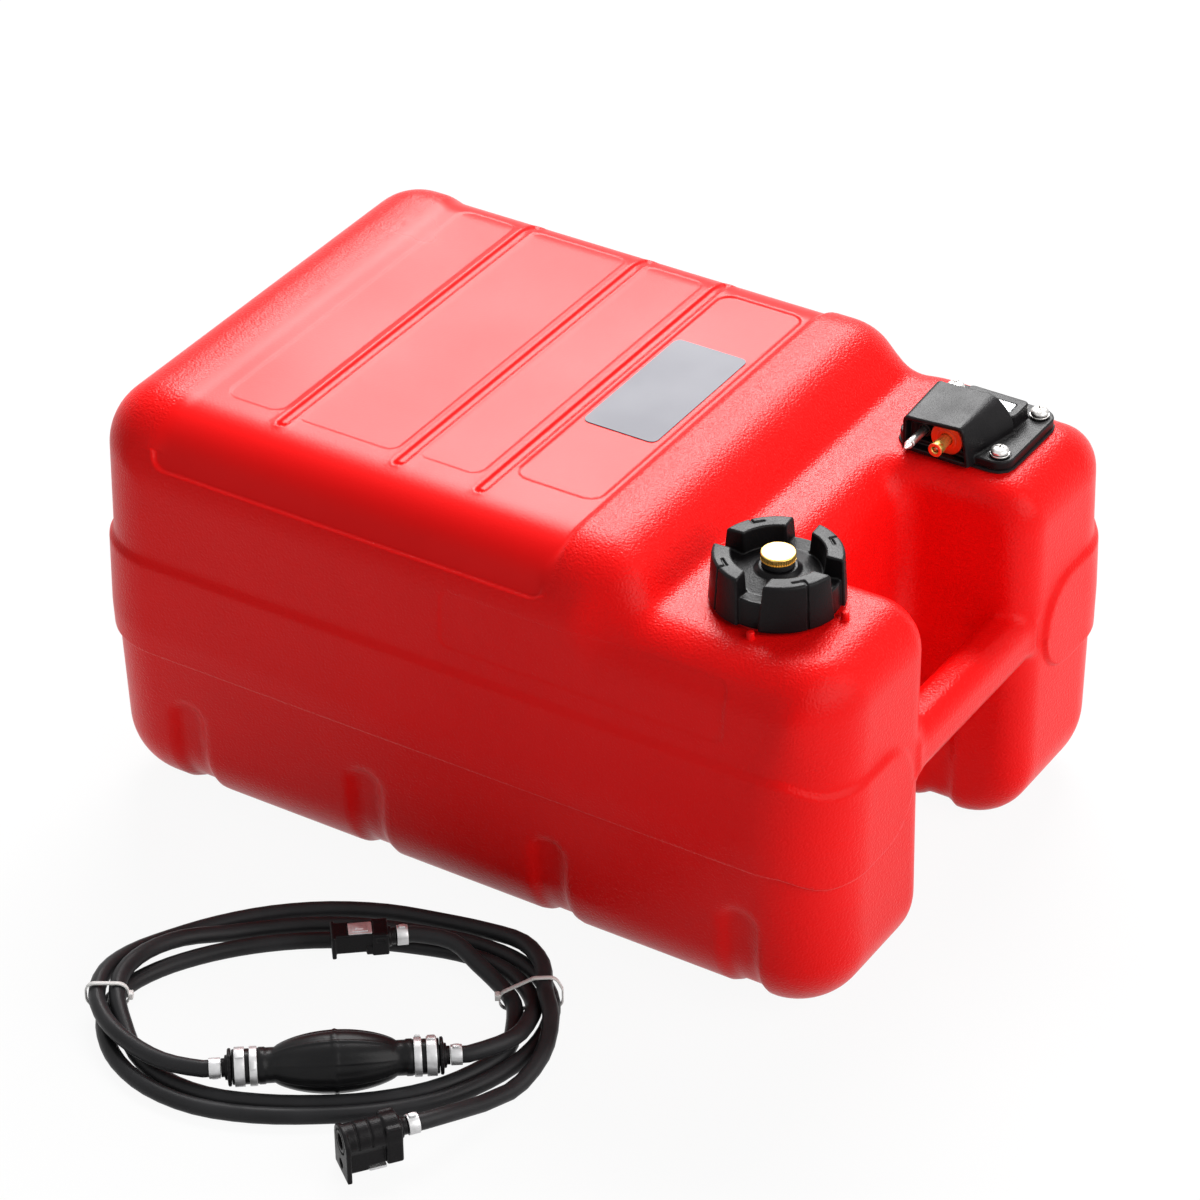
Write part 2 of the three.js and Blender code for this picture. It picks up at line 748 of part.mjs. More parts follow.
function fillerCap() {
  const dish = turnedZ([
    [0, 0], [capWaistRadius, 0], [capWaistRadius - capEdge, capGapFloor], [capInnerRadius, capMoatFloor],
    [capHubRadius + capEdge, capHubFloor], [0, capHubFloor],
  ]);
  const crown = turnedZ([
    [capInnerRadius, capRoofUnder], [capFootRadius, 0], [capTopRadius, capHeight - capEdge],
    [capTopRadius - capEdge, capHeight], [capInnerRadius + capEdge / 2, capHeight], [capInnerRadius, capRoofUnder],
  ]);
  const gaps = [];
  const grooves = [];
  for (let i = 0; i < capBlocks; i += 1) {
    const turn = 2 * Math.PI * i / capBlocks;
    const half = capGap / 2;
    const reach = capFootRadius + overrun;
    gaps.push(block(capHubRadius + capEdge, reach, -half, half, capGapFloor, capHeight + overrun).rotateZ(turn));
    gaps.push(block(capWaistRadius, reach, -half, half, -overrun, capHeight).rotateZ(turn));
    const wallTurn = turn + Math.PI / capBlocks + capGrooveTurn * degree;
    const wide = capGrooveWidth / 2;
    const deep = capTopRadius - capGrooveDepth;
    grooves.push(block(deep, reach, -wide, wide, -overrun, capHeight + overrun).rotateZ(wallTurn));
    const top = capHeight - capGrooveDepth;
    const middle = (capInnerRadius + capTopRadius) / 2;
    const length = capGap / 2;
    const bar = block(middle, middle + capGrooveWidth, -length, wide, top, capHeight + overrun);
    grooves.push(bar.rotateZ(wallTurn));
    grooves.push(block(middle, reach, -wide, wide, top, capHeight + overrun).rotateZ(wallTurn));
  }
  return geometryOf(cutFrom(joined([dish, crown]), [
    ...gaps,
    ...grooves,
    barZ(capCavityRadius, -overrun, capRoofUnder, 0, 0, roundSides),
    barZ(ventShankRadius + runningGap, -overrun, capHeight, 0, 0),
  ]));
}

function ring(innerRadius, outerRadius, low, high, sides = roundSides) {
  return turnedZ([
    [innerRadius, low], [outerRadius, low], [outerRadius, high], [innerRadius, high], [innerRadius, low],
  ], sides);
}

const capGasketTop = capRoofUnder - seat;
const capGasket = () => (
  ring(gasketInnerRadius, capCavityRadius - seat * 2, capGasketTop - gasketThickness, capGasketTop)
);
const ventWasher = () => ring(ventShankRadius + runningGap, ventWasherRadius, 0, ventWasherHeight);

function ventScrew() {
  const outline = [];
  for (let i = 0; i < ventKnurls * 2; i += 1) {
    const radius = i % 2 ? ventHeadRadius : ventHeadRadius - ventKnurl;
    const turn = Math.PI * i / ventKnurls;
    outline.push(new THREE.Vector2(radius * Math.cos(turn), radius * Math.sin(turn)));
  }
  const edge = ventKnurl * 2;
  const rimTop = ventHeadHeight - edge;
  const head = new THREE.ExtrudeGeometry(new THREE.Shape(outline), { depth: rimTop, bevelEnabled: false });
  const crown = barZ(ventHeadRadius - ventKnurl, rimTop - ventKnurl, ventHeadHeight, 0, 0, roundSides,
    ventHeadRadius - ventKnurl - edge);
  return geometryOf(joined([head, crown, barZ(ventShankRadius, -ventShankLength, edge)]));
}

// Fuel meter housing, in its own frame: x, y from the middle of the screws, z = 0 at its foot.
const hoodNearY = -hoodMouthOffset;
const hoodFarY = hoodNearY + hoodLength;

function hoodSection(footRight, waistRight, inset, y) {
  const corners = [
    [-hoodFootLeft, 0, leastFillet], [footRight, 0, leastFillet], [waistRight, hoodWaist, hoodCorner],
    [hoodTopRight, hoodHeight, hoodCorner], [-hoodTopLeft, hoodHeight, hoodCorner],
  ];
  return filleted(insetCorners(corners, inset), cavitySteps).map((point) => new THREE.Vector3(point.x, y, point.y));
}

function hood(inset, nearY, farY) {
  const sections = [
    hoodSection(hoodMouthFootRight, hoodMouthWaistRight, inset, nearY),
    hoodSection(hoodBackFootRight, hoodBackWaistRight, inset, farY),
  ];
  return skin(sections, sections[0].map((point) => new THREE.Vector2(point.x, point.z)));
}

const pinX = spigotOffsetX - pinPitch;

function hoodCavity() {
  const far = hoodNearY + hoodDepth;
  const sections = [hoodNearY - overrun, far].map((y) => (
    hoodSection(hoodMouthFootRight, hoodMouthWaistRight, hoodWall, y)
  ));
  const hollow = skin(sections, sections[0].map((point) => new THREE.Vector2(point.x, point.z)));
  const spigotBoss = barY(spigotBossRadius, hoodNearY + spigotBossSetback, far, spigotOffsetX, outletHeight);
  const pinBoss = barY(pinBossRadius, hoodNearY + spigotBossSetback, far, pinX, outletHeight);
  return cutFrom(solidOf(hollow), [spigotBoss, pinBoss]);
}

const flangeHalfX = screwPitchX / 2 + flangeMargin;
const flangeHalfY = screwPitchY / 2 + flangeMargin;
const pivotZ = -meterStemDepth - pivotDrop;
const windowFloor = platformHeight - windowPocket;

function pivotEars() {
  const inner = earGap / 2;
  return [[-inner - earThickness, -inner], [inner, inner + earThickness]].map(([low, high]) => (
    block(pivotOffsetX - earWidth / 2, pivotOffsetX + earWidth / 2, pivotOffsetY + low, pivotOffsetY + high,
      pivotZ - earWidth / 2, -meterStemDepth + overrun)
  ));
}

function meterHousing() {
  const flange = slab(
    rectangle(-flangeHalfX, flangeHalfX, -flangeHalfY, flangeHalfY, flangeCorner), 0, flangeThickness, bodySteps);
  const platform = slab(
    rectangle(-platformLeft, platformRight, platformNear, platformFar, platformCorner), 0, platformHeight, cavitySteps);
  const reliefs = screwPlaces.map(([x, y]) => [x - meterX, y - meterY]);
  const sleeve = solidOf(barZ(screwRelief + reliefWall, 0, hoodHeight, ...reliefs[0]));
  const shape = joined([
    flange, platform, hood(0, hoodNearY, hoodFarY),
    barZ(meterStemRadius, -meterStemDepth, flangeThickness, 0, 0, roundSides), ...pivotEars(),
  ]);
  const outerX = windowX + windowLength / 2 + seat;
  const innerX = outerX - windowLedge - seat;
  const outerY = windowWidth / 2 + seat;
  const innerY = outerY - windowLedge - seat;
  const lowX = windowX * 2 - outerX;
  const lowInnerX = windowX * 2 - innerX;
  const paneFloor = platformHeight - windowThickness - seat;
  const above = hoodHeight + overrun;
  const middleY = windowY + platformNear;
  const inHood = sleeve.intersect(solidOf(hood(0, hoodNearY, hoodFarY)));
  const cavityless = shape.subtract(hoodCavity()).add(inHood);
  const wayEnd = pickupOffsetY + fuelWayRadius;
  const bored = cutFrom(cavityless, [
    block(lowX, outerX, middleY - outerY, middleY + outerY, paneFloor, above),
    block(lowInnerX, innerX, middleY - innerY, middleY + innerY, windowFloor, above),
    barY(spigotWaistRadius + seat, hoodNearY, hoodNearY + spigotBossSetback + spigotSeatDepth,
      spigotOffsetX, outletHeight),
    barY(fuelWayRadius, hoodNearY, wayEnd, spigotOffsetX, outletHeight, smallSides / 2),
    barY(pinRadius + seat, hoodNearY, hoodNearY + spigotBossSetback + pinSeatDepth, pinX, outletHeight),
    barZ(fuelWayRadius, -meterStemDepth, outletHeight, pickupOffsetX, pickupOffsetY, smallSides / 2),
    barZ(pickupRadius + seat, -meterStemDepth - overrun, pickupInset - meterStemDepth, pickupOffsetX, pickupOffsetY),
    barY(armWireRadius + seat, pivotOffsetY - meterStemRadius, pivotOffsetY + meterStemRadius,
      pivotOffsetX, pivotZ, smallSides / 2),
    ...reliefs.map(([x, y]) => barZ(screwClearRadius, -overrun, above, x, y)),
    ...reliefs.map(([x, y]) => barZ(screwRelief, flangeThickness, above, x, y)),
  ]);
  const pin = barZ(pointerPinRadius, windowFloor - overrun, windowFloor + pointerRise + pointerThickness,
    windowX, middleY - pointerSetback, smallSides / 2);
  return geometryOf(bored.add(solidOf(pin)));
}

function meterGasketSheet() {
  const reachX = flangeHalfX + gasketLip;
  const reachY = flangeHalfY + gasketLip;
  const corners = rectangle(-reachX, reachX, -reachY, reachY, flangeCorner + gasketLip);
  const sheet = solidOf(slab(corners, 0, meterGasket - seat * 2, cavitySteps));
  return geometryOf(cutFrom(sheet, [
    barZ(meterHoleRadius, -overrun, meterGasket, 0, 0, roundSides),
    ...screwPlaces.map(([x, y]) => barZ(screwClearRadius, -overrun, meterGasket, x - meterX, y - meterY)),
  ]));
}

function fuelSpigot() {
  const tip = -spigotReach;
  const flare = tip + spigotTipLength;
  const end = spigotBossSetback + spigotSeatDepth - seat;
  const profile = [
    [spigotBore, tip], [spigotRadius - spigotBore / 2, tip], [spigotRadius, tip + spigotBore / 2],
    [spigotRadius, flare - spigotBore / 2], [spigotWaistRadius, flare], [spigotWaistRadius, end],
    [spigotBore, end], [spigotBore, tip],
  ];
  const turned = turnedZ(profile, smallSides).rotateX(-Math.PI / 2);
  const holes = [1, 3].map((i) => (
    barZ(crossHoleRadius, -spigotRadius * 2, spigotRadius * 2, 0, flare + crossHoleRadius * 2, smallSides / 2)
      .rotateY(i * Math.PI / 4)
  ));
  return geometryOf(cutFrom(solidOf(turned), holes));
}

function spigotSeal() {
  const high = spigotBossSetback - seat;
  return ring(spigotWaistRadius + seat, sealRadius, high - sealThickness, high).rotateX(-Math.PI / 2);
}

function guidePin() {
  const tip = -pinReach;
  const end = spigotBossSetback + pinSeatDepth - seat;
  const profile = [[0, tip], [pinTipRadius, tip], [pinRadius, tip + pinTipLength], [pinRadius, end], [0, end]];
  return turnedZ(profile, smallSides).rotateX(-Math.PI / 2);
}

function meterWindow() {
  const halfX = windowLength / 2;
  const halfY = windowWidth / 2;
  return slab(rectangle(-halfX, halfX, -halfY, halfY, leastFillet), -windowThickness, 0, cavitySteps);
}

function gaugeDial() {
  const halfX = windowLength / 2 - windowLedge - seat;
  const halfY = windowWidth / 2 - windowLedge - seat;
  const plate = solidOf(slab(rectangle(-halfX, halfX, -halfY, halfY, leastFillet), 0, dialThickness, 1));
  const hole = barZ(pointerPinRadius + seat, -overrun, dialThickness + overrun, 0, -pointerSetback, smallSides / 2);
  return geometryOf(cutFrom(plate, [hole]));
}

function gaugePointer() {
  const hub = barZ(pointerHubRadius, 0, pointerThickness, 0, 0);
  const needle = block(-pointerWidth / 2, pointerWidth / 2, 0, pointerLength, 0, pointerThickness);
  const hole = barZ(pointerPinRadius + seat, -overrun, pointerThickness + overrun, 0, 0, smallSides / 2);
  return geometryOf(cutFrom(joined([hub, needle]), [hole]));
}

// Float arm, in its own frame: pivot at the origin, arm along -X.
function floatArm() {
  const half = earGap / 2 + earThickness;
  return geometryOf(joined([
    barY(armWireRadius, -half, half, 0, 0, smallSides / 2),
    barX(armWireRadius, -armLength, 0, 0, 0, smallSides / 2),
  ]));
}

function floatBody() {
  const far = -armLength + floatEdge;
  const near = far + floatLength;
  const bore = armWireRadius + seat;
  const profile = [
    [bore, far], [floatRadius - floatEdge, far], [floatRadius, far + floatEdge], [floatRadius, near - floatEdge],
    [floatRadius - floatEdge, near], [bore, near], [bore, far],
  ];
  return turnedX(profile, smallSides);
}

const pickupTop = pickupInset - meterStemDepth - seat;
const pickupFoot = pickupFloorGap - deckHeight - meterGasket;

const pickupTube = () => ring(pickupBore, pickupRadius, pickupFoot, pickupTop, smallSides);

function pickupStrainer() {
  const top = pickupFoot + strainerOverlap;
  const foot = top - strainerHeight;
  const inner = strainerRadius - strainerWall;
  const bore = pickupRadius + seat;
  return turnedZ([
    [0, foot], [strainerRadius, foot], [strainerRadius, top], [bore, top], [bore, top - strainerWall],
    [inner, top - strainerWall], [inner, foot + strainerWall], [0, foot + strainerWall],
  ], smallSides);
}

function housingScrew() {
  const neck = screwHeadHeight / 3;
  const profile = [
    [0, -screwLength], [screwShankRadius, -screwLength], [screwShankRadius, 0], [screwHeadRadius, 0],
    [screwHeadRadius, neck], [screwHeadRadius * screwShoulderShare, neck * 2],
    [screwHeadRadius / 2, screwHeadHeight], [0, screwHeadHeight],
  ];
  const slots = [0, 1].map((i) => (
    block(-screwSlotLength / 2, screwSlotLength / 2, -screwSlotWidth / 2, screwSlotWidth / 2,
      screwHeadHeight - screwSlotDepth, screwHeadHeight + overrun).rotateZ(i * Math.PI / 2)
  ));
  return geometryOf(cutFrom(solidOf(turnedZ(profile, smallSides)), slots));
}

const screwWasher = () => ring(screwShankRadius + seat, washerRadius, 0, washerThickness, smallSides);

// Fuel line. A place on the coil is given by its angle, its offset outward and its height.
const coilAngle = coilTurn * degree;
const toWorld = (p, q, z) => new THREE.Vector3(
  coilX + p * Math.cos(coilAngle) - q * Math.sin(coilAngle),
  coilY + p * Math.sin(coilAngle) + q * Math.cos(coilAngle),
  z,
);
const coilPlace = (angle, offset, z) => toWorld(
  (coilLong + offset) * Math.cos(angle * degree), (coilShort + offset) * Math.sin(angle * degree), z);
const headingOf = (turn) => new THREE.Vector3(
  Math.cos(coilAngle + turn * degree), Math.sin(coilAngle + turn * degree), 0);

// Smooth value between stations: a cubic with the slope of the neighbouring stations.
function between(stations, angle, column) {
  let i = 0;
  while (i + 2 < stations.length && angle < stations[i + 1][0]) i += 1;
  const slope = (k) => {
    if (k === 0 || k === stations.length - 1) return 0;
    const [before, after] = [stations[k - 1], stations[k + 1]];
    return (after[column] - before[column]) / (after[0] - before[0]);
  };
  const [from, to] = [stations[i], stations[i + 1]];
  const span = to[0] - from[0];
  const t = (angle - from[0]) / span;
  return from[column] * (1 + 2 * t) * (1 - t) ** 2 + slope(i) * span * t * (1 - t) ** 2
    + to[column] * t * t * (3 - 2 * t) + slope(i + 1) * span * t * t * (t - 1);
}

// Corners of a hose's centre line: straight out of its start, round the coil, straight into its end.
function hoseLine(stations, start, startHeading, end, endHeading) {
  const step = 360 / stepsPerTurn;
  const last = stations[stations.length - 1][0] / step;
  const line = [start, start.clone().addScaledVector(startHeading, hoseLead)];
  for (let k = Math.floor(stations[0][0] / step - 1 / 2); k > last + 1 / 2; k -= 1) {
    const angle = k * step;
    const height = Math.max(between(stations, angle, 2), hoseRadius);
    line.push(coilPlace(angle, between(stations, angle, 1), height));
  }
  line.push(end.clone().addScaledVector(endHeading, -hoseLead), end);
  return line;
}

// A hose along its centre line, square to the line at both ends.
function hose(line) {
  const past = line.length - 1;
  const sections = line.map((place, i) => {
    const before = line[i < 2 ? 0 : Math.min(i - 1, past - 1)];
    const after = line[i > past - 2 ? past : Math.max(i + 1, 1)];
    const along = (i < 2 ? line[1] : after).clone().sub(before).normalize();
    const across = new THREE.Vector3(0, 0, 1).cross(along).normalize();
    const over = along.clone().cross(across);
    return Array.from({ length: hoseSides }, (_, j) => {
      const turn = -2 * Math.PI * (j + 1 / 2) / hoseSides;
      return place.clone().addScaledVector(across, hoseRadius * Math.cos(turn))
        .addScaledVector(over, hoseRadius * Math.sin(turn));
    });
  });
  const cap = Array.from({ length: hoseSides }, (_, j) => {
    const turn = 2 * Math.PI * j / hoseSides;
    return new THREE.Vector2(Math.cos(turn), Math.sin(turn));
  });
  return skin(sections, cap);
}

// The least clear distance between turns of the hoses, measured on points of their centre lines.
function leastHoseGap(lines) {
  const places = [];
  lines.forEach((line, hoseNumber) => {
    let station = 0;
    line.slice(1).forEach((corner, i) => {
      const length = corner.distanceTo(line[i]);
      for (let k = 0; k < smallSides; k += 1) {
        const place = line[i].clone().lerp(corner, k / smallSides);
        places.push({ hoseNumber, station: station + length * k / smallSides, place });
      }
      station += length;
    });
  });
  let least = Infinity;
  places.forEach((a, i) => places.slice(i + 1).forEach((b) => {
    const neighbours = a.hoseNumber === b.hoseNumber && b.station - a.station < hoseRadius * smallSides / 2;
    if (!neighbours) least = Math.min(least, a.place.distanceTo(b.place));
  }));
  return least - hoseRadius * 2;
}

const bulbMiddle = toWorld(bulbP, bulbQ, bulbAxisHeight);
const bulbAlong = headingOf(bulbHeading);
const bulbEnd = (side) => bulbMiddle.clone().addScaledVector(bulbAlong, side * (fittingStemEnd + seat));
const engineLength = enginePlate + engineBodyLength + engineBlockLength + connectorNeckLength;
const tankConnectorLength = tankPlate + tankBarrelLength + tankBlockLength + connectorNeckLength;
const engineFront = toWorld(engineP, engineQ, engineAxisHeight);
const tankConnectorFront = toWorld(tankConnectorP, tankConnectorQ, tankConnectorAxisHeight);
const engineAlong = headingOf(engineHeading);
const tankConnectorAlong = headingOf(tankConnectorHeading);
const engineHoseStart = engineFront.clone().addScaledVector(engineAlong, engineLength + seat);
const tankHoseEnd = tankConnectorFront.clone().addScaledVector(tankConnectorAlong, tankConnectorLength + seat);
const engineLine = hoseLine(engineHoseStations, engineHoseStart, engineAlong, bulbEnd(1), bulbAlong.clone().negate());
const tankLine = hoseLine(tankHoseStations, bulbEnd(-1), bulbAlong.clone().negate(), tankHoseEnd,
  tankConnectorAlong.clone().negate());
console.log(`least gap between hose turns ${leastHoseGap([engineLine, tankLine]).toFixed(2)} mm`);

// Primer bulb, about X, with a hollow that is open at both necks.
function primerBulb() {
  const outer = [];
  const inner = [];
  const count = smallSides / 2;
  for (let i = 0; i <= count; i += 1) {
    const station = bulbHalfLength * (2 * i / count - 1);
    const swell = Math.sqrt(1 - (station / bulbHalfLength) ** 2) ** bulbSwellShare;
    outer.push([bulbNeckRadius + (bulbRadius - bulbNeckRadius) * swell, station]);
    const bore = bulbNeckBore + (bulbRadius - bulbWall - bulbNeckBore) * swell;
    inner.push([bore, station]);
  }
  const profile = [
    [bulbNeckBore, -bulbNeckEnd], [bulbNeckRadius, -bulbNeckEnd], ...outer, [bulbNeckRadius, bulbNeckEnd],
    [bulbNeckBore, bulbNeckEnd], ...inner.reverse(), [bulbNeckBore, -bulbNeckEnd],
  ];
  const rib = turnedX([
    [bulbRadius - bulbWall / 2, -bulbRibWidth / 2], [bulbRadius + bulbRib, -bulbRibWidth / 2],
    [bulbRadius + bulbRib, bulbRibWidth / 2], [bulbRadius - bulbWall / 2, bulbRibWidth / 2],
    [bulbRadius - bulbWall / 2, -bulbRibWidth / 2],
  ], smallSides);
  return geometryOf(joined([turnedX(profile, smallSides), rib]));
}

// A barbed fitting at the +X end of the bulb.
function bulbFitting() {
  const flangeStart = bulbNeckEnd + seat;
  const flangeEnd = flangeStart + fittingFlangeThickness;
  const chamberEnd = fittingBarbStart + valveChamberDepth;
  return turnedX([
    [valveMouthRadius, fittingBarbStart], [fittingBarbRadius, fittingBarbStart], [fittingBarbRadius, flangeStart],
    [fittingFlangeRadius, flangeStart], [fittingFlangeRadius, flangeEnd], [fittingStemRadius, flangeEnd],
    [fittingStemRadius, fittingStemEnd], [fittingBore, fittingStemEnd], [fittingBore, chamberEnd],
    [valveChamberRadius, chamberEnd], [valveChamberRadius, fittingBarbStart + valveLip],
    [valveMouthRadius, fittingBarbStart + valveLip], [valveMouthRadius, fittingBarbStart],
  ], smallSides);
}

const valveDisc = (station) => barX(valveDiscRadius, station, station + valveDiscThickness);
const bulbBand = (start, width) => turnedX([
  [bulbNeckRadius + seat, start], [bulbNeckRadius + seat + bandThickness, start],
  [bulbNeckRadius + seat + bandThickness, start + width], [bulbNeckRadius + seat, start + width],
  [bulbNeckRadius + seat, start],
], smallSides);

// A crimped hose clamp about X with the ear that the pliers close.
function hoseClamp() {
  const inner = hoseRadius + seat;
  const outer = inner + clampThickness;
  const band = turnedX([[inner, 0], [outer, 0], [outer, clampWidth], [inner, clampWidth], [inner, 0]], smallSides);
  const middle = clampWidth / 2;
  const ear = block(middle - clampEarWidth / 2, middle + clampEarWidth / 2, -clampEarLength / 2, clampEarLength / 2,
    inner + clampThickness / 3, outer + clampEarHeight);
  return geometryOf(joined([band, ear]));
}

// A small compression spring along Z, standing on z = 0.
function latchSpring(height) {
  const count = springTurns * springSteps;
  const sections = [];
  for (let i = 0; i <= count; i += 1) {
    const turn = 2 * Math.PI * i / springSteps;
    const out = new THREE.Vector3(Math.cos(turn), Math.sin(turn), 0);
    const place = out.clone().multiplyScalar(springRadius);
    place.z = springWire + (height - 2 * springWire) * i / count;
    sections.push(Array.from({ length: springSides }, (_, j) => {
      const roll = 2 * Math.PI * j / springSides;
      return place.clone().addScaledVector(out, springWire * Math.cos(roll))
        .add(new THREE.Vector3(0, 0, springWire * Math.sin(roll)));
    }));
  }
  const cap = Array.from({ length: springSides }, (_, j) => (
    new THREE.Vector2(Math.cos(2 * Math.PI * j / springSides), Math.sin(2 * Math.PI * j / springSides))
  ));
  return skin(sections, cap);
}

// Engine connector: mating face at x = 0, fuel axis along +X, latch on top.
const engineLatchFloor = engineRoof - engineLatchPocket;
const engineSpringX = engineLatchStart + engineLatchLength / 2;
const engineSpringFloor = engineLatchFloor - springSeat;
const engineSpringHeight = engineLatchPocket - engineLatchThickness + springSeat - seat;

function engineConnectorBody() {
  const blockStart = enginePlate + engineBodyLength;
  const blockEnd = blockStart + engineBlockLength;
  const plateHalf = enginePlateWidth / 2;
  const plateTop = enginePlateHeight / 2;
  const bodyHalf = engineBodyWidth / 2;
  const blockHalf = engineBlockWidth / 2;
  const blockTop = engineBlockHeight / 2;
  const latchHalf = engineLatchWidth / 2 + seat;
  const shape = joined([
    block(0, enginePlate, -plateHalf, plateHalf, -plateTop, plateTop),
    block(0, blockEnd, -bodyHalf, bodyHalf, -engineKeel, engineRoof),
    block(blockStart, blockEnd, -blockHalf, blockHalf, -blockTop, blockTop),
    barX(connectorNeckRadius, blockEnd - overrun, engineLength),
  ]);
  return geometryOf(cutFrom(shape, [
    barX(engineSocketRadius, -overrun, engineSocketDepth),
    barX(connectorBore, -overrun, engineLength + overrun, 0, 0, smallSides / 2),
    block(engineLatchStart - seat, engineLatchStart + engineLatchLength + seat, -latchHalf, latchHalf,
      engineLatchFloor, engineRoof + overrun),
    barZ(springBore, engineSpringFloor, engineRoof, engineSpringX, 0),
  ]));
}

const engineConnectorLatch = () => block(engineLatchStart, engineLatchStart + engineLatchLength,
  -engineLatchWidth / 2, engineLatchWidth / 2, engineRoof - engineLatchThickness, engineRoof);

// Tank connector: mating face at x = 0, fuel axis along +X, guide hole and latch below it.
const tankFloor = -tankConnectorAxisHeight;
const tankLatchStop = tankFloor + tankLatchRoof;
const tankSpringX = tankLatchStart + tankLatchLength / 2;
const tankLatchTop = tankFloor + tankLatchFoot + tankLatchThickness;
const tankSpringHeight = tankLatchStop + springSeat - tankLatchTop - seat;

function tankConnectorBody() {
  const plateHalf = tankPlateWidth / 2;
  const plateTop = tankFloor + tankPlateHeight;
  const plateShape = [
    [-plateHalf, tankFloor, leastFillet], [plateHalf, tankFloor, leastFillet],
    [plateHalf, plateTop, tankPlateArch], [-plateHalf, plateTop, tankPlateArch],
  ];
  const outline = filleted(plateShape, bodySteps);
  const ringAt = (x) => outline.map((point) => new THREE.Vector3(x, point.x, point.y));
  const plate = skin([ringAt(tankPlate), ringAt(0)], outline);
  const blockStart = tankPlate + tankBarrelLength;
  const blockEnd = blockStart + tankBlockLength;
  const blockHalf = tankBlockWidth / 2;
  const webHalf = tankWebWidth / 2;
  const shape = joined([
    plate,
    barX(tankBarrelRadius, 0, blockEnd),
    block(0, blockStart, -webHalf, webHalf, tankFloor + tankWebFoot, 0),
    block(blockStart, blockEnd, -blockHalf, blockHalf, plateTop - tankBlockHeight, plateTop - leastFillet),
    barX(connectorNeckRadius, blockEnd - overrun, tankConnectorLength),
  ]);
  const latchHalf = tankLatchWidth / 2 + webHalf;
  return geometryOf(cutFrom(shape, [
    barX(tankSocketRadius, -overrun, tankSocketDepth),
    barX(connectorBore, -overrun, tankConnectorLength + overrun, 0, 0, smallSides / 2),
    barX(tankPinHoleRadius, -overrun, tankPinHoleDepth, 0, -pinPitch),
    block(tankLatchStart - seat, blockStart + seat, -latchHalf, latchHalf, tankFloor, tankLatchStop),
    barZ(springBore, tankFloor, tankLatchStop + springSeat, tankSpringX, 0),
  ]));
}

const tankConnectorLatch = () => block(tankLatchStart, tankLatchStart + tankLatchLength - seat * 2,
  -tankLatchWidth / 2, tankLatchWidth / 2, tankFloor + tankLatchFoot, tankLatchTop);

// A cable tie round the strands of the coil, drawn across them.
function cableTie(corners) {
  const shape = new THREE.Shape(filleted(insetCorners(corners, -tieThickness), cavitySteps));
  shape.holes.push(new THREE.Path(filleted(corners, cavitySteps)));
  const geometry = new THREE.ExtrudeGeometry(shape, { depth: tieWidth, bevelEnabled: false });
  return geometry.translate(0, 0, -tieWidth / 2);
}

// Assembly
const assembly = new THREE.Group();

function add(name, geometry, material, parent = assembly) {
  const mesh = new THREE.Mesh(geometry, material);
  mesh.name = name;
  parent.add(mesh);
  return mesh;
}

function groupAt(x, y, z, parent = assembly) {
  const group = new THREE.Group();
  group.position.set(x, y, z);
  parent.add(group);
  return group;
}

add('tank_shell', tankShell(), redPlastic);
add('label_plate', labelPlate(), greyLabel);

const capGroup = groupAt(capX, capY, deckHeight + capLift);
capGroup.rotation.z = capTurnRest * degree;
add('filler_cap', fillerCap(), blackPlastic, capGroup);
add('cap_gasket', capGasket(), blackRubber, capGroup);
add('vent_washer', ventWasher(), blackRubber, capGroup).position.z = capHubFloor + seat;
add('vent_screw', ventScrew(), brass, capGroup).position.z = capHubFloor + ventWasherHeight + seat * 2;

const meter = groupAt(meterX, meterY, deckHeight + meterGasket);
add('meter_housing', meterHousing(), blackPlastic, meter);
add('meter_gasket', meterGasketSheet(), blackRubber, meter).position.z = seat - meterGasket;
const windowMiddleY = windowY + platformNear;
add('meter_window', meterWindow(), clearPlastic, meter).position.set(windowX, windowMiddleY, platformHeight);
add('gauge_dial', gaugeDial(), whitePlastic, meter).position.set(windowX, windowMiddleY, windowFloor + labelGap);
const pointer = add('gauge_pointer', gaugePointer(), redRubber, meter);
pointer.position.set(windowX, windowMiddleY - pointerSetback, windowFloor + pointerRise);
pointer.rotation.z = pointerRest * degree;
add('fuel_spigot', fuelSpigot(), brass, meter).position.set(spigotOffsetX, hoodNearY, outletHeight);
add('spigot_seal', spigotSeal(), redRubber, meter).position.set(spigotOffsetX, hoodNearY, outletHeight);
add('guide_pin', guidePin(), steel, meter).position.set(pinX, hoodNearY, outletHeight);
const arm = groupAt(pivotOffsetX, pivotOffsetY, pivotZ, meter);
arm.rotation.y = -armRest * degree;
add('float_arm', floatArm(), steel, arm);
add('float', floatBody(), floatPlastic, arm);
add('pickup_tube', pickupTube(), blackPlastic, meter).position.set(pickupOffsetX, pickupOffsetY, 0);
add('pickup_strainer', pickupStrainer(), whitePlastic, meter).position.set(pickupOffsetX, pickupOffsetY, 0);
screwPlaces.forEach(([x, y], i) => {
  const place = groupAt(x - meterX, y - meterY, flangeThickness + seat, meter);
  add(`screw_washer_${i + 1}`, screwWasher(), steel, place);
  const screw = add(`housing_screw_${i + 1}`, housingScrew(), steel, place);
  screw.position.z = washerThickness + seat;
  screw.rotation.z = screwTurns[i] * degree;
});

add('hose_engine_side', hose(engineLine), blackRubber);
add('hose_tank_side', hose(tankLine), blackRubber);

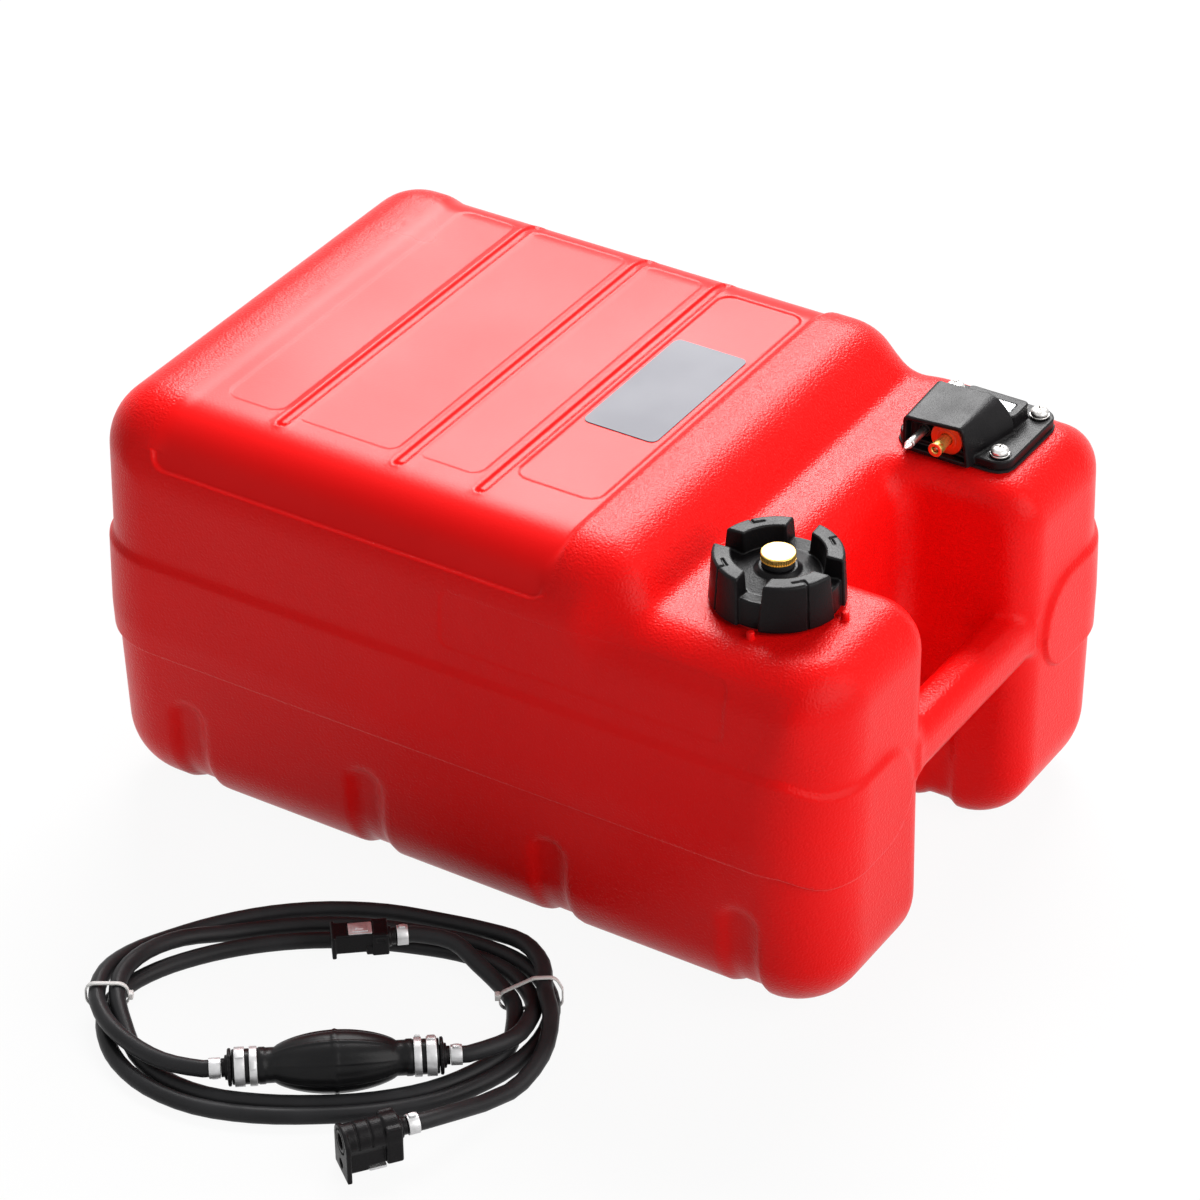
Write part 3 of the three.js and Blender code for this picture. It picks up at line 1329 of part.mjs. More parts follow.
const bulb = groupAt(bulbMiddle.x, bulbMiddle.y, bulbMiddle.z);
bulb.rotation.z = coilAngle + bulbHeading * degree;
add('primer_bulb', primerBulb(), blackRubber, bulb);
[['inlet', -1], ['outlet', 1]].forEach(([name, side], i) => {
  const end = groupAt(0, 0, 0, bulb);
  end.rotation.z = side < 0 ? Math.PI : 0;
  add(`bulb_${name}_fitting`, bulbFitting(), blackPlastic, end);
  add(`bulb_band_${i * 2 + 1}`, bulbBand(innerBandStart, innerBandWidth), steel, end);
  add(`bulb_band_${i * 2 + 2}`, bulbBand(outerBandStart, outerBandWidth), steel, end);
  add(`hose_clamp_${i + 1}`, hoseClamp(), steel, end).position.x = fittingStemEnd + seat;
  const chamberEnd = fittingBarbStart + valveChamberDepth;
  const station = side > 0 ? fittingBarbStart + valveLip + seat : chamberEnd - valveDiscThickness - seat;
  add(`${name}_valve_disc`, valveDisc(station), blackRubber, end);
});

const engineConnector = groupAt(engineFront.x, engineFront.y, engineFront.z);
engineConnector.rotation.z = coilAngle + engineHeading * degree;
add('engine_connector_body', engineConnectorBody(), blackPlastic, engineConnector);
add('engine_connector_latch', engineConnectorLatch(), steel, engineConnector);
add('engine_latch_spring', latchSpring(engineSpringHeight - seat), steel, engineConnector)
  .position.set(engineSpringX, 0, engineSpringFloor + seat);
add('hose_clamp_3', hoseClamp(), steel, engineConnector).position.x = engineLength + seat;

const tankConnector = groupAt(tankConnectorFront.x, tankConnectorFront.y, tankConnectorFront.z);
tankConnector.rotation.z = coilAngle + tankConnectorHeading * degree;
add('tank_connector_body', tankConnectorBody(), blackPlastic, tankConnector);
add('tank_connector_latch', tankConnectorLatch(), steel, tankConnector);
add('tank_latch_spring', latchSpring(tankSpringHeight - seat), steel, tankConnector)
  .position.set(tankSpringX, 0, tankLatchTop + seat);
add('hose_clamp_4', hoseClamp(), steel, tankConnector).position.x = tankConnectorLength + seat;

[['tie_left', leftTieAngle, leftTieCorners], ['tie_right', rightTieAngle, rightTieCorners]].forEach(
  ([name, angle, corners]) => {
    const place = coilPlace(angle, 0, 0);
    const tie = add(name, cableTie(corners), whitePlastic);
    tie.position.copy(place);
    tie.rotation.set(Math.PI / 2, coilAngle + angle * degree, 0, 'XYZ');
  },
);

export default assembly;
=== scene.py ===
"""Outboard fuel tank with its fuel line: every visible piece and finish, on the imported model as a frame.

Lengths in this file are in millimetres, and are turned into metres where a mesh or a curve is made.
"""
import math

import bmesh
import bpy
import numpy as np
from mathutils import Matrix, Vector


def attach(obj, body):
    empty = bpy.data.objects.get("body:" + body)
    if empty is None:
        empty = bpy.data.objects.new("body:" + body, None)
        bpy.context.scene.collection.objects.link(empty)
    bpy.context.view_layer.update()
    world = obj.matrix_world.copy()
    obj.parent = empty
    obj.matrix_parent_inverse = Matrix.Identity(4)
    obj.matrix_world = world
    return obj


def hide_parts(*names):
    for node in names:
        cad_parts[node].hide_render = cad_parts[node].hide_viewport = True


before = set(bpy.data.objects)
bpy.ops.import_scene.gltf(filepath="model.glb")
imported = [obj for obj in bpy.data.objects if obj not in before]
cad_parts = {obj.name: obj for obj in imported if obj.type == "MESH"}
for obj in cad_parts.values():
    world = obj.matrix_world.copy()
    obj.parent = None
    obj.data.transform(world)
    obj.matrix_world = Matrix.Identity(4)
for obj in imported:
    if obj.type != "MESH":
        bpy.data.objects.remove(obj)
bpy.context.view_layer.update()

bl_info = {
    "name": "Outboard fuel tank",
    "version": (1, 0, 0),
    "blender": (4, 5, 0),
    "location": "3D View > Sidebar > Fuel Tank",
    "description": "Builds a moulded fuel tank, its cap, its fuel meter and its fuel line",
    "category": "Object",
}

MM = 0.001

# Tank shell
BODY_WIDTH, BODY_HEIGHT, DECK_HEIGHT = 309, 233, 208
SIDE_VIEW = (
    (-218.5, 0, 38), (218.5, 0, 38), (218.5, 208, 25), (108, 208, 12), (87, 233, 42), (-218.5, 233, 30),
)
SIDE_RADIUS, DECK_SIDE_RADIUS, TOP_DRAFT, BOTTOM_DRAFT, PARTING_HEIGHT = 40, 29, 5.4, 6, 111
# Where the rims beside the low deck are tighter: middle, half length and blend along X, then height and blend
NEAR_RIM, FAR_RIM, RIM_LOW, RIM_BLEND = (148, 52, 30), (140, 32, 36), 165, 50
NOTCH_BACK, NOTCH_HALF, NOTCH_CORNER, NOTCH_RIM = 147, 50, 14, 18
NOTCH_FRONT_BLEND, NOTCH_FRONT_RIM_ABOVE, NOTCH_FRONT_RIM_BELOW = 30, 7, 20
BAR_MIDDLE, BAR_HALF, BAR_HALF_SPAN, BAR_EDGES, BAR_FILLET = (206.5, 123.25), (12, 12.25), 60, (10.5, 3), 5
BELT_MIDDLE, BELT_HALF, BELT_PROUD, BELT_END, BELT_CORNER, BELT_DROP = 124.25, 27.75, 2.5, 69, 27, 8.75
BELT_START, BELT_DROP_FROM, BELT_DROP_BLEND, BELT_EDGES = 129, 202, 24, (5.5, 2.6)
RECESS_LOW, RECESS_MIDDLE, RECESS_HALF, RECESS_DEPTH, RECESS_CORNER = 207, -59, 117, 2.2, 9
LEDGE_HEIGHT, LEDGE_WIDTH, RECESS_EDGE, BACK_EDGE, FADED_EDGE = 8, 2.4, 5, 8, 12
GROOVES, GROOVE_SPAN, GROOVE_HALF_WIDTH, GROOVE_DEPTH = (-119.3, -49.2, -1.2), (-110, 126), 2.2, 1.2
GROOVE_DOT_RADIUS, GROOVE_DOT_DEPTH, GROOVE_LIP = 1.5, 0.8, 0.35
LABEL_PLATE, LABEL_PANEL_DEPTH = (6.4, 49, -30, 62), 0.8
# Panels of the top: bounds, corners, depth and blend
TOP_PANELS = (
    ((-160, -126, -102, 118), 7, 0.35, 0.9), ((-116, -57, -103, 118), 7, 0.35, 0.9),
    ((-45.5, -9.5, -100, 118), 7, 0.35, 0.9), ((4.5, 53, -90, 113), 8, LABEL_PANEL_DEPTH, 1.4),
)
SIDE_PANEL, SIDE_PANEL_DEPTH = (0, 161, 164, 196), 0.45
CHANNELS, CHANNEL_HALF_WIDTH, CHANNEL_TOP, CHANNEL_DEPTH = (-160, -50, 60, 170), 9, 68, 3

# Reach of the shell's slopes, and how near to an edge of the relief its faces are halved
SHELL_REACH, FINER_WITHIN = 0.8, (5.0, 2.7)

# Filler neck, cap and air screw
CAP_PLACE, CAP_TURN, NECK_TOP = (153.4, -87.8, 209.9), 4, 217.7
CAP_HEIGHT, CAP_FOOT, CAP_TOP, CAP_WAIST, CAP_INNER, CAP_HUB = 25.1, 33.5, 31.9, 31.6, 21.9, 9.4
GRIP_HALF, GRIP_LINE_HALF, GRIP_LINE_DEPTH = 6, 0.6, 0.9
LUG_TURNS, LUG_DISTANCE = (-80.8, 2.9), 36.1
KNURL_DEPTH, KNURL_LINES = 0.42, 42

# Fuel meter
METER_PLACE = (164.6, 92.5, 209.6)
SCREW_HALF = (24, 21.25)
SPIGOT_X, PIN_X, OUTLET_Z, MOUTH_Y = -1.6, -15.2, 10.4, -34
FLANGE_HALF, FLANGE_HEIGHT, FLANGE_CORNER = (31.8, 29.05), 5, 9
HOOD_TOP, HOOD_LENGTH, HOOD_WALL, HOOD_CORNER, HOOD_LEFT, HOOD_CREST = 24.4, 35, 2.2, 3.6, -24.6, 8.8
HOOD_WAIST_HEIGHT, HOOD_SLOPE_HEIGHT, BOSS_DEPTH, FITTING_EDGE = 13.4, 11, 5.5, 0.9
ALCOVE_RADIUS, ALCOVE_TOP, SLEEVE_RADIUS, SLEEVE_TOP, SCREW_RELIEF, SCREW_BORE = 6.2, 12, 7.7, 13.5, 5.5, 2.4

# Fuel line: degrees round the coil, offset outward and height of the hose's middle
COIL_PLACE, COIL_TURN, COIL_LONG, COIL_SHORT, COIL_STEP = (-6.2, -253.7), 32.4, 112.5, 78.8, 15
HOSE_LEAD = 8.4
ENGINE_HOSE = (
    (56, -25, 15.2), (45, -23.2, 13.6), (30, -25.3, 9.4), (15, -23, 5.6), (0, -19, 5.4), (-15, -15.4, 4.6),
    (-30, -8.4, 4.1), (-45, -6.7, 4.1), (-60, -5.4, 4.1), (-90, -6, 4.1), (-105, -5, 4.1), (-118, -3.4, 4.1),
    (-135, -5, 4.1), (-150, -8.6, 5.4), (-166, -12, 10.4), (-180, -11, 14.2), (-200, -8.8, 14),
    (-220, -9.5, 12.2), (-240, -11.5, 6), (-270, -12.6, 4.1), (-300, -12.6, 4.1), (-330, -5, 4.4),
    (-360, 0, 5.4), (-390, 1.4, 4.1), (-405, 2.4, 4.1), (-420, 3.8, 4.1), (-450, 2.9, 4.1), (-478, 6, 4.1),
    (-495, 4.6, 4.1), (-525, -2.4, 4.6), (-540, -5.2, 5.2), (-560, -12, 4.6), (-580, -19, 4.1),
    (-600, -23, 4.1), (-630, -25, 4.1), (-660, -23.4, 4.1), (-690, -15.2, 4.4), (-720, -9.2, 5.5),
    (-735, -7.2, 10.6), (-750, -4.2, 14.2), (-766, -8, 15.2),
)
TANK_HOSE = (
    (-121, -9.7, 15.2), (-135, -5.4, 14.9), (-150, -5, 14.4), (-165, -3.4, 14.2), (-180, -1, 14.1),
    (-200, 0.6, 11.8), (-220, 0.6, 6), (-240, 0, 4.1), (-270, 0, 4.1), (-300, 0, 4.1), (-315, 0.8, 7),
    (-327, 1, 11.4), (-338, 0.4, 13.8), (-360, -3.4, 14.2), (-372, 2, 13.8), (-382, 7.5, 12.2),
    (-392, 12.5, 8.6), (-404, 17, 6), (-413, 23, 10),
)
BULB_PLACE, BULB_HEADING, BULB_END = (8.4, -55.5, 16), 3.9, 55.5
ENGINE_PLACE, ENGINE_HEADING, ENGINE_LENGTH = (2.3, 39.4, 15.2), 6.4, 32.9
TANK_PLACE, TANK_HEADING, TANK_LENGTH = (13, -118.2, 19.3), 19.8, 33.1
TIES = (
    ("tie_left", -182, ((-15.9, 19, 4.6), (-15.9, 9.4, 4.6), (-10.4, 0.95, 4), (-1.2, 0.95, 4),
                        (4.3, 9.4, 4.6), (4.3, 19, 4.6))),
    ("tie_right", 2, ((-8.6, 19, 5), (-25.4, 10.2, 4.4), (-25.4, 0.95, 4.4), (4.9, 0.95, 4.4),
                      (4.9, 12, 4.4), (1.7, 19, 4.4))),
)

# Studio: camera in millimetres, lamps in metres and watts
CAMERA_PLACE, CAMERA_AHEAD = (1085.76, -1716.77, 1480.31), (-0.44321, 0.69883, -0.56142)
CAMERA_AZIMUTH, CAMERA_ROLL, CAMERA_LENS, CAMERA_SENSOR, CAMERA_REACH = 0.5652, -0.0122, 142.0, 36.0, 50
LAMPS = (
    ("back_softbox", (-0.64, 1.58, 1.86), 152, 1.65, 1.45, (1.0, 1.0, 1.0)),
    ("right_softbox", (2.05, -0.05, 1.3), 46, 2.2, 1.8, (1.0, 0.985, 0.97)),
    ("front_fill", (-0.6, -2.2, 1.3), 4, 1.8, 1.2, (1.0, 1.0, 1.0)),
)
LAMP_AIM = (0.02, -0.02, 0.12)
WORLD_LEVEL, FLOOR_REACH, FLOOR_GREY, FLOOR_GLOW = 0.16, 6.0, 0.62, 0.93

UP_TO_X = Matrix.Rotation(math.pi / 2, 4, "Y")
UP_TO_Y = Matrix.Rotation(-math.pi / 2, 4, "X")


class TankFinish(bpy.types.PropertyGroup):
    """Colours and surface texture of the moulded pieces."""
    shell_color: bpy.props.FloatVectorProperty(
        name="Shell colour", description="Colour of the tank shell", subtype="COLOR", size=3, min=0, max=1,
        default=(0.80, 0.0045, 0.0045))
    plastic_color: bpy.props.FloatVectorProperty(
        name="Fitting colour", description="Colour of the cap, the meter housing and the connectors",
        subtype="COLOR", size=3, min=0, max=1, default=(0.0045, 0.004, 0.0045))
    rubber_color: bpy.props.FloatVectorProperty(
        name="Rubber colour", description="Colour of the hose and the bulb", subtype="COLOR", size=3,
        min=0, max=1, default=(0.007, 0.007, 0.0075))
    label_color: bpy.props.FloatVectorProperty(
        name="Label colour", description="Colour of the bare label plate", subtype="COLOR", size=3,
        min=0, max=1, default=(0.13, 0.13, 0.15))
    stipple_depth: bpy.props.FloatProperty(
        name="Stipple depth", description="Depth of the orange-peel texture of the shell", unit="LENGTH",
        default=0.00021, min=0, max=0.001)


class TankSizes(bpy.types.PropertyGroup):
    """Sizes and mesh fineness that may be changed without breaking the fit."""
    hose_radius: bpy.props.FloatProperty(
        name="Hose radius", description="Outer radius of the fuel hose", unit="LENGTH", default=0.0043,
        min=0.001)
    shell_cell: bpy.props.FloatProperty(
        name="Shell cell", description="Width of a face of the shell away from its edges", unit="LENGTH",
        default=0.003, min=0.001)
    fitting_cell: bpy.props.FloatProperty(
        name="Fitting cell", description="Width of a face of the moulded fittings", unit="LENGTH",
        default=0.00055, min=0.0002)


# Distance fields

def round_and(first, second, radius):
    """The solid common to two, with the edge between them rounded."""
    a, b = first + radius, second + radius
    return np.minimum(np.maximum(a, b), 0) + np.hypot(np.maximum(a, 0), np.maximum(b, 0)) - radius


def round_or(first, second, radius):
    """Two solids joined, with a fillet between them."""
    return -round_and(-first, -second, radius)


def round_cut(solid, tool, radius):
    """A solid less another, with the rim rounded."""
    return round_and(solid, -tool, radius)


def beyond(values, low, high):
    """Distance outside a span, negative inside it."""
    return np.abs(values - (low + high) / 2) - (high - low) / 2


def box_field(points, low, high, radius):
    """Distance from a block with rounded edges."""
    low, high = np.array(low, float), np.array(high, float)
    q = np.abs(points - (low + high) / 2) - (high - low) / 2 + radius
    return np.linalg.norm(np.maximum(q, 0), axis=1) + np.minimum(q.max(axis=1), 0) - radius


def bar_field(points, axis, middle, radius, low, high, edge):
    """Distance from a round bar along an axis, at a middle given in the two other axes."""
    one, two = [i for i in range(3) if i != axis]
    away = np.hypot(points[:, one] - middle[0], points[:, two] - middle[1])
    return round_and(away - radius, beyond(points[:, axis], low, high), edge)


def ramp(distance, width):
    """One inside a region, nought outside it, and a smooth slope of a width between."""
    t = np.clip(0.5 - distance / width, 0, 1)
    return t * t * (3 - 2 * t)


def eased(first, into, last, away, t):
    """A value or a point between two, with the slope at each of them."""
    return (first * (1 + 2 * t) * (1 - t) ** 2 + into * t * (1 - t) ** 2
            + last * t * t * (3 - 2 * t) + away * t * t * (t - 1))


def filleted(corners, steps=8):
    """Points of a closed outline whose corners (x, y, radius) are rounded."""
    made = []
    for i, (x, y, radius) in enumerate(corners):
        here = np.array((x, y), float)
        back = np.array(corners[i - 1][:2], float) - here
        ahead = np.array(corners[(i + 1) % len(corners)][:2], float) - here
        room = 0.49 * min(np.linalg.norm(back), np.linalg.norm(ahead))
        back /= np.linalg.norm(back)
        ahead /= np.linalg.norm(ahead)
        half = math.acos(max(-1, min(1, float(back @ ahead)))) / 2
        reach = min(radius / math.tan(half), room)
        arc = reach * math.tan(half)
        centre = here + (back + ahead) / np.linalg.norm(back + ahead) * arc / math.sin(half)
        first, last = here + back * reach - centre, here + ahead * reach - centre
        sweep = math.atan2(first[0] * last[1] - first[1] * last[0], float(first @ last))
        for k in range(steps + 1):
            c, s = math.cos(sweep * k / steps), math.sin(sweep * k / steps)
            made.append(centre + (first[0] * c - first[1] * s, first[0] * s + first[1] * c))
    return np.array(made)


def outline_lookup(outline, low, high, step):
    xs, zs = np.arange(low[0], high[0] + step, step), np.arange(low[1], high[1] + step, step)
    x, z = np.meshgrid(xs, zs, indexing="ij")
    least = np.full(x.shape, np.inf)
    inside = np.zeros(x.shape, bool)
    for (ax, az), (bx, bz) in zip(outline, np.roll(outline, -1, axis=0)):
        dx, dz = bx - ax, bz - az
        t = np.clip(((x - ax) * dx + (z - az) * dz) / max(dx * dx + dz * dz, 1e-12), 0, 1)
        least = np.minimum(least, (x - ax - t * dx) ** 2 + (z - az - t * dz) ** 2)
        if abs(dz) > 1e-9:
            crosses = (az > z) != (bz > z)
            inside ^= crosses & (x < ax + (z - az) * dx / dz)
    table = np.where(inside, -1, 1) * np.sqrt(least)

    def look(px, pz):
        u = np.clip((px - low[0]) / step, 0, len(xs) - 1.001)
        v = np.clip((pz - low[1]) / step, 0, len(zs) - 1.001)
        i, j = u.astype(int), v.astype(int)
        f, g = u - i, v - j
        return (table[i, j] * (1 - f) * (1 - g) + table[i + 1, j] * f * (1 - g)
                + table[i, j + 1] * (1 - f) * g + table[i + 1, j + 1] * f * g)
    return look


def surface_of(field, low, high, step):
    """Points and quads where a field is nought: one point in each cell of a grid that it crosses."""
    low, high = np.array(low, float) - 2 * step, np.array(high, float) + 2 * step
    count = np.ceil((high - low) / step).astype(int) + 1
    lines = [low[i] + step * np.arange(count[i]) for i in range(3)]
    value = field(np.stack(np.meshgrid(*lines, indexing="ij"), -1).reshape(-1, 3)).reshape(count)
    inside = value < 0
    total, hits, crossings = np.zeros((*(count - 1), 3)), np.zeros(count - 1), []
    for axis in range(3):
        one, two = (axis + 1) % 3, (axis + 2) % 3
        near = np.take(value, np.arange(count[axis] - 1), axis)
        far = np.take(value, np.arange(1, count[axis]), axis)
        crossed = (near < 0) != (far < 0)
        share = np.where(crossed, near / np.where(crossed, near - far, 1), 0)
        crossings.append(crossed)
        for a in (0, 1):
            for b in (0, 1):
                cut = [slice(None)] * 3
                cut[one], cut[two] = slice(a, a + count[one] - 1), slice(b, b + count[two] - 1)
                hit = crossed[tuple(cut)]
                hits += hit
                total[..., axis] += share[tuple(cut)]
                total[..., one] += a * hit
                total[..., two] += b * hit
    live = hits > 0
    number = np.full(hits.shape, -1)
    number[live] = np.arange(live.sum())
    points = low + step * (np.argwhere(live) + total[live] / hits[live][:, None])
    faces = []
    for axis, crossed in enumerate(crossings):
        one, two = (axis + 1) % 3, (axis + 2) % 3
        edges = np.argwhere(crossed)
        edges = edges[(edges[:, one] > 0) & (edges[:, two] > 0)
                      & (edges[:, one] < count[one] - 1) & (edges[:, two] < count[two] - 1)]
        loop = []
        for a, b in ((1, 1), (0, 1), (0, 0), (1, 0)):
            cell = edges.copy()
            cell[:, one] -= a
            cell[:, two] -= b
            loop.append(number[tuple(cell.T)])
        quads = np.stack(loop, 1)
        outward = inside[tuple(edges.T)]
        quads[~outward] = quads[~outward][:, ::-1]
        faces.append(quads)
    return points, np.concatenate(faces)


def slope_of(field, points, reach):
    """Direction in which a field grows, by differences over a reach."""
    made = np.empty_like(points)
    for i in range(3):
        step = np.zeros(3)
        step[i] = reach
        made[:, i] = (field(points + step) - field(points - step)) / (2 * reach)
    return made


def settled(field, points, reach=0.15, rounds=3):
    """Points moved onto the surface of a field."""
    for _ in range(rounds):
        slope = slope_of(field, points, reach)
        square = np.maximum((slope * slope).sum(1), 0.25)
        points = points - (field(points) / square)[:, None] * slope
    return points


def relaxed(points, faces, share=0.5):
    """Points moved towards the middle of their neighbours."""
    a, b = faces.ravel(), np.roll(faces, -1, axis=1).ravel()
    ends, others = np.concatenate((a, b)), np.concatenate((b, a))
    weight = np.maximum(np.bincount(ends, minlength=len(points)), 1)
    middle = np.stack([np.bincount(ends, points[others, i], len(points)) / weight for i in range(3)], 1)
    return points + (middle - points) * share


def moulded(field, low, high, step, reach):
    """Points and quads of a moulded form, evenly spread on the surface of its field."""
    points, faces = surface_of(field, low, high, step)
    for _ in range(2):
        points = settled(field, relaxed(points, faces), reach, 2)
    return points, faces


# Meshes

def moved(matrix, points):
    """Points moved by a matrix."""
    m = np.array(matrix)
    return points @ m[:3, :3].T + m[:3, 3]


def about(axis, degrees):
    """A turn about an axis."""
    return Matrix.Rotation(math.radians(degrees), 4, axis)


def raised(height):
    """A move along Z."""
    return Matrix.Translation((0, 0, height))


def mesh_of(name, form, place=None):
    """A mesh from a form in millimetres, moved to its place."""
    points, faces = form
    points = np.asarray(points, float)
    if place is not None:
        points = moved(place, points)
    mesh = bpy.data.meshes.new(name)
    mesh.from_pydata((points * MM).tolist(), [], [list(map(int, face)) for face in faces])
    return mesh


def welded(mesh, collapsed=True):
    """Merges the doubled points of a mesh, drops its faces of no size and turns the others outward."""
    work = bmesh.new()
    work.from_mesh(mesh)
    bmesh.ops.remove_doubles(work, verts=work.verts, dist=1e-6)
    if collapsed:
        bmesh.ops.dissolve_degenerate(work, edges=work.edges, dist=1e-7)
    bmesh.ops.recalc_face_normals(work, faces=work.faces)
    work.to_mesh(mesh)
    work.free()


def smoothed(mesh, sharp=None):
    """Shades a mesh smooth, with hard edges above an angle in degrees."""
    mesh.polygons.foreach_set("use_smooth", [True] * len(mesh.polygons))
    if sharp:
        mesh.set_sharp_from_angle(angle=math.radians(sharp))


def linked(name, data):
    """A new object in the scene that shows some data."""
    made = bpy.data.objects.new(name, data)
    bpy.context.scene.collection.objects.link(made)
    return made


def piece(name, form, kind, body, stands_for=(), place=None, sharp=None, weld=False):
    """An object made from a form, with a kind of finish and set on its body."""
    mesh = mesh_of(name, form, place)
    if weld:
        welded(mesh)
    smoothed(mesh, sharp)
    made = linked(name, mesh)
    mesh.materials.append(finish(kind))
    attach(made, body)
    if stands_for:
        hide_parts(*stands_for)
    return made


def softened(profile):
    """An open profile of (radius, station, fillet) with its inner corners rounded."""
    steps = 3
    rounded = filleted([(r, s, max(f, 1e-4)) for r, s, f in profile], steps)
    rounded = rounded.reshape(len(profile), steps + 1, 2)
    first, last = np.array(profile[0][:2], float), np.array(profile[-1][:2], float)
    return np.vstack((first[None], rounded[1:-1].reshape(-1, 2), last[None]))


def ring_faces(rows, count, closed=False, capped=False):
    """Quads between rings of points, and a face across the first and the last ring where asked."""
    faces = []
    for i in range(rows if closed else rows - 1):
        low, high = i * count, (i + 1) % rows * count
        for j in range(count):
            k = (j + 1) % count
            faces.append((low + j, low + k, high + k, high + j))
    if capped:
        faces += [tuple(range(count))[::-1], tuple(range((rows - 1) * count, rows * count))]
    return faces


def turned(profile, sides=48, closed=False, swell=None):
    """A profile of (radius, station) turned about Z. `swell` may change the radius by turn and station."""
    profile = np.asarray(profile, float)
    turns = 2 * math.pi * np.arange(sides) / sides
    radius, station = np.meshgrid(profile[:, 0], turns, indexing="ij")[0], profile[:, 1][:, None] + 0 * turns
    if swell is not None:
        radius = radius + swell(turns[None, :], station, radius)
    points = np.stack((radius * np.cos(turns), radius * np.sin(turns), station), -1).reshape(-1, 3)
    return points, ring_faces(len(profile), sides, closed)


def ring_form(inner, outer, low, high, edge, sides=48):
    """A ring with softly rounded edges."""
    corners = [(inner, low, edge / 2), (outer, low, edge), (outer, high, edge), (inner, high, edge / 2)]
    return turned(filleted(corners, 3), sides, True)


def swept(line, section, closed=False):
    """A flat section (across, up) carried along a line of (point, sideways, upward)."""
    points = [place + across * a + over * b for place, across, over in line for a, b in section]
    return np.array(points), ring_faces(len(line), len(section), closed, not closed)


def slab_form(corners, low, high, edge, steps=6):
    """A plate in plan with rounded corners and softened edges."""
    outline = filleted(corners, steps)
    middle = outline.mean(axis=0)
    reach = np.abs(outline - middle).max(axis=0)
    rows = []
    levels = ((edge, low), (0, low + edge), (0, high - edge), (edge * 0.3, high - edge * 0.3), (edge, high))
    for inset, z in levels:
        shrunk = middle + (outline - middle) * (1 - inset / reach)
        rows.append(np.column_stack((shrunk, np.full(len(shrunk), z))))
    return np.vstack(rows), ring_faces(len(rows), len(outline), capped=True)


def rectangle(low_x, high_x, low_y, high_y, radius):
    """Corners of a rectangle, each with its radius."""
    corners = ((low_x, low_y), (high_x, low_y), (high_x, high_y), (low_x, high_y))
    return [(x, y, radius) for x, y in corners]


def joined(*forms):
    """Several forms as one."""
    points, faces, past = [], [], 0
    for some, loops in forms:
        points.append(np.asarray(some, float))
        faces += [tuple(int(i) + past for i in loop) for loop in loops]
        past += len(some)
    return np.vstack(points), faces


def carried(matrix, form):
    """A form moved by a matrix."""
    return moved(matrix, np.asarray(form[0], float)), form[1]


def fitting(name, field, low, high, body, node, place):
    """A moulded black fitting."""
    cell = bpy.context.scene.tank_sizes.fitting_cell / MM
    return piece(name, moulded(field, low, high, cell, cell / 3), "plastic", body, (node,), place)


def cut_with(target, cutter_form, place):
    """Cuts a form out of a piece for good."""
    mesh = mesh_of("cutter", cutter_form, place)
    welded(mesh, False)
    cutter = linked("cutter", mesh)
    change = target.modifiers.new("cut", "BOOLEAN")
    change.object, change.operation, change.solver = cutter, "DIFFERENCE", "EXACT"
    shown = target.evaluated_get(bpy.context.evaluated_depsgraph_get())
    result = bpy.data.meshes.new_from_object(shown)
    target.modifiers.clear()
    target.data = result
    bpy.data.objects.remove(cutter)
    bpy.data.meshes.remove(mesh)
    smoothed(result, 35)


# Finishes

def feed(tree, socket, value):
    """Links a socket to another, or sets it to a plain value."""
    if isinstance(value, bpy.types.NodeSocket):
        tree.links.new(value, socket)
    else:
        socket.default_value = value


def put(tree, kind, inputs=None, **settings):
    """A node with its settings, and its inputs set or linked."""
    made = tree.nodes.new("ShaderNode" + kind)
    for name, value in settings.items():
        setattr(made, name, value)
    for name, value in (inputs or {}).items():
        feed(tree, made.inputs[name], value)
    return made


def group(name, inputs, outputs):
    """A new node group with named sockets, its input node and a call that wires its outputs."""
    tree = bpy.data.node_groups.new(name, "ShaderNodeTree")
    for label, kind, value in inputs:
        socket = tree.interface.new_socket(name=label, in_out="INPUT", socket_type="NodeSocket" + kind)
        socket.default_value = value
    for label, kind in outputs:
        tree.interface.new_socket(name=label, in_out="OUTPUT", socket_type="NodeSocket" + kind)
    start, end = tree.nodes.new("NodeGroupInput"), tree.nodes.new("NodeGroupOutput")
    return tree, start, lambda label, socket: tree.links.new(socket, end.inputs[label])


def maths(tree, operation, *values, **settings):
    """The result of a Math node."""
    return put(tree, "Math", dict(enumerate(values)), operation=operation, **settings).outputs[0]


def noise(tree, given, place, detail):
    """Noise at the scale that a group is given."""
    inputs = {"Vector": place, "Scale": given.outputs["Scale"], "Detail": detail}
    return put(tree, "TexNoise", inputs).outputs["Fac"]


def spread(tree, value, low, high):
    """A value stretched so that its two limits become nought and one."""
    return put(tree, "MapRange", {"Value": value, "From Min": low, "From Max": high}).outputs["Result"]


def orange_peel():
    """Pebbled height of a textured mould, quieter where the mask is one."""
    tree, given, give = group(
        "Orange Peel", [("Scale", "Float", 500.0), ("Quiet", "Float", 0.0)], [("Height", "Float")])
    place = put(tree, "TexCoord").outputs["Object"]
    cells = put(tree, "TexVoronoi", {"Vector": place, "Scale": given.outputs["Scale"], "Smoothness": 1.0},
                feature="SMOOTH_F1")
    both = maths(tree, "SUBTRACT", noise(tree, given, place, 2.0), cells.outputs["Distance"])
    loud = maths(tree, "MULTIPLY_ADD", given.outputs["Quiet"], -0.86, 1.0)
    give("Height", maths(tree, "MULTIPLY", both, loud))
    return tree


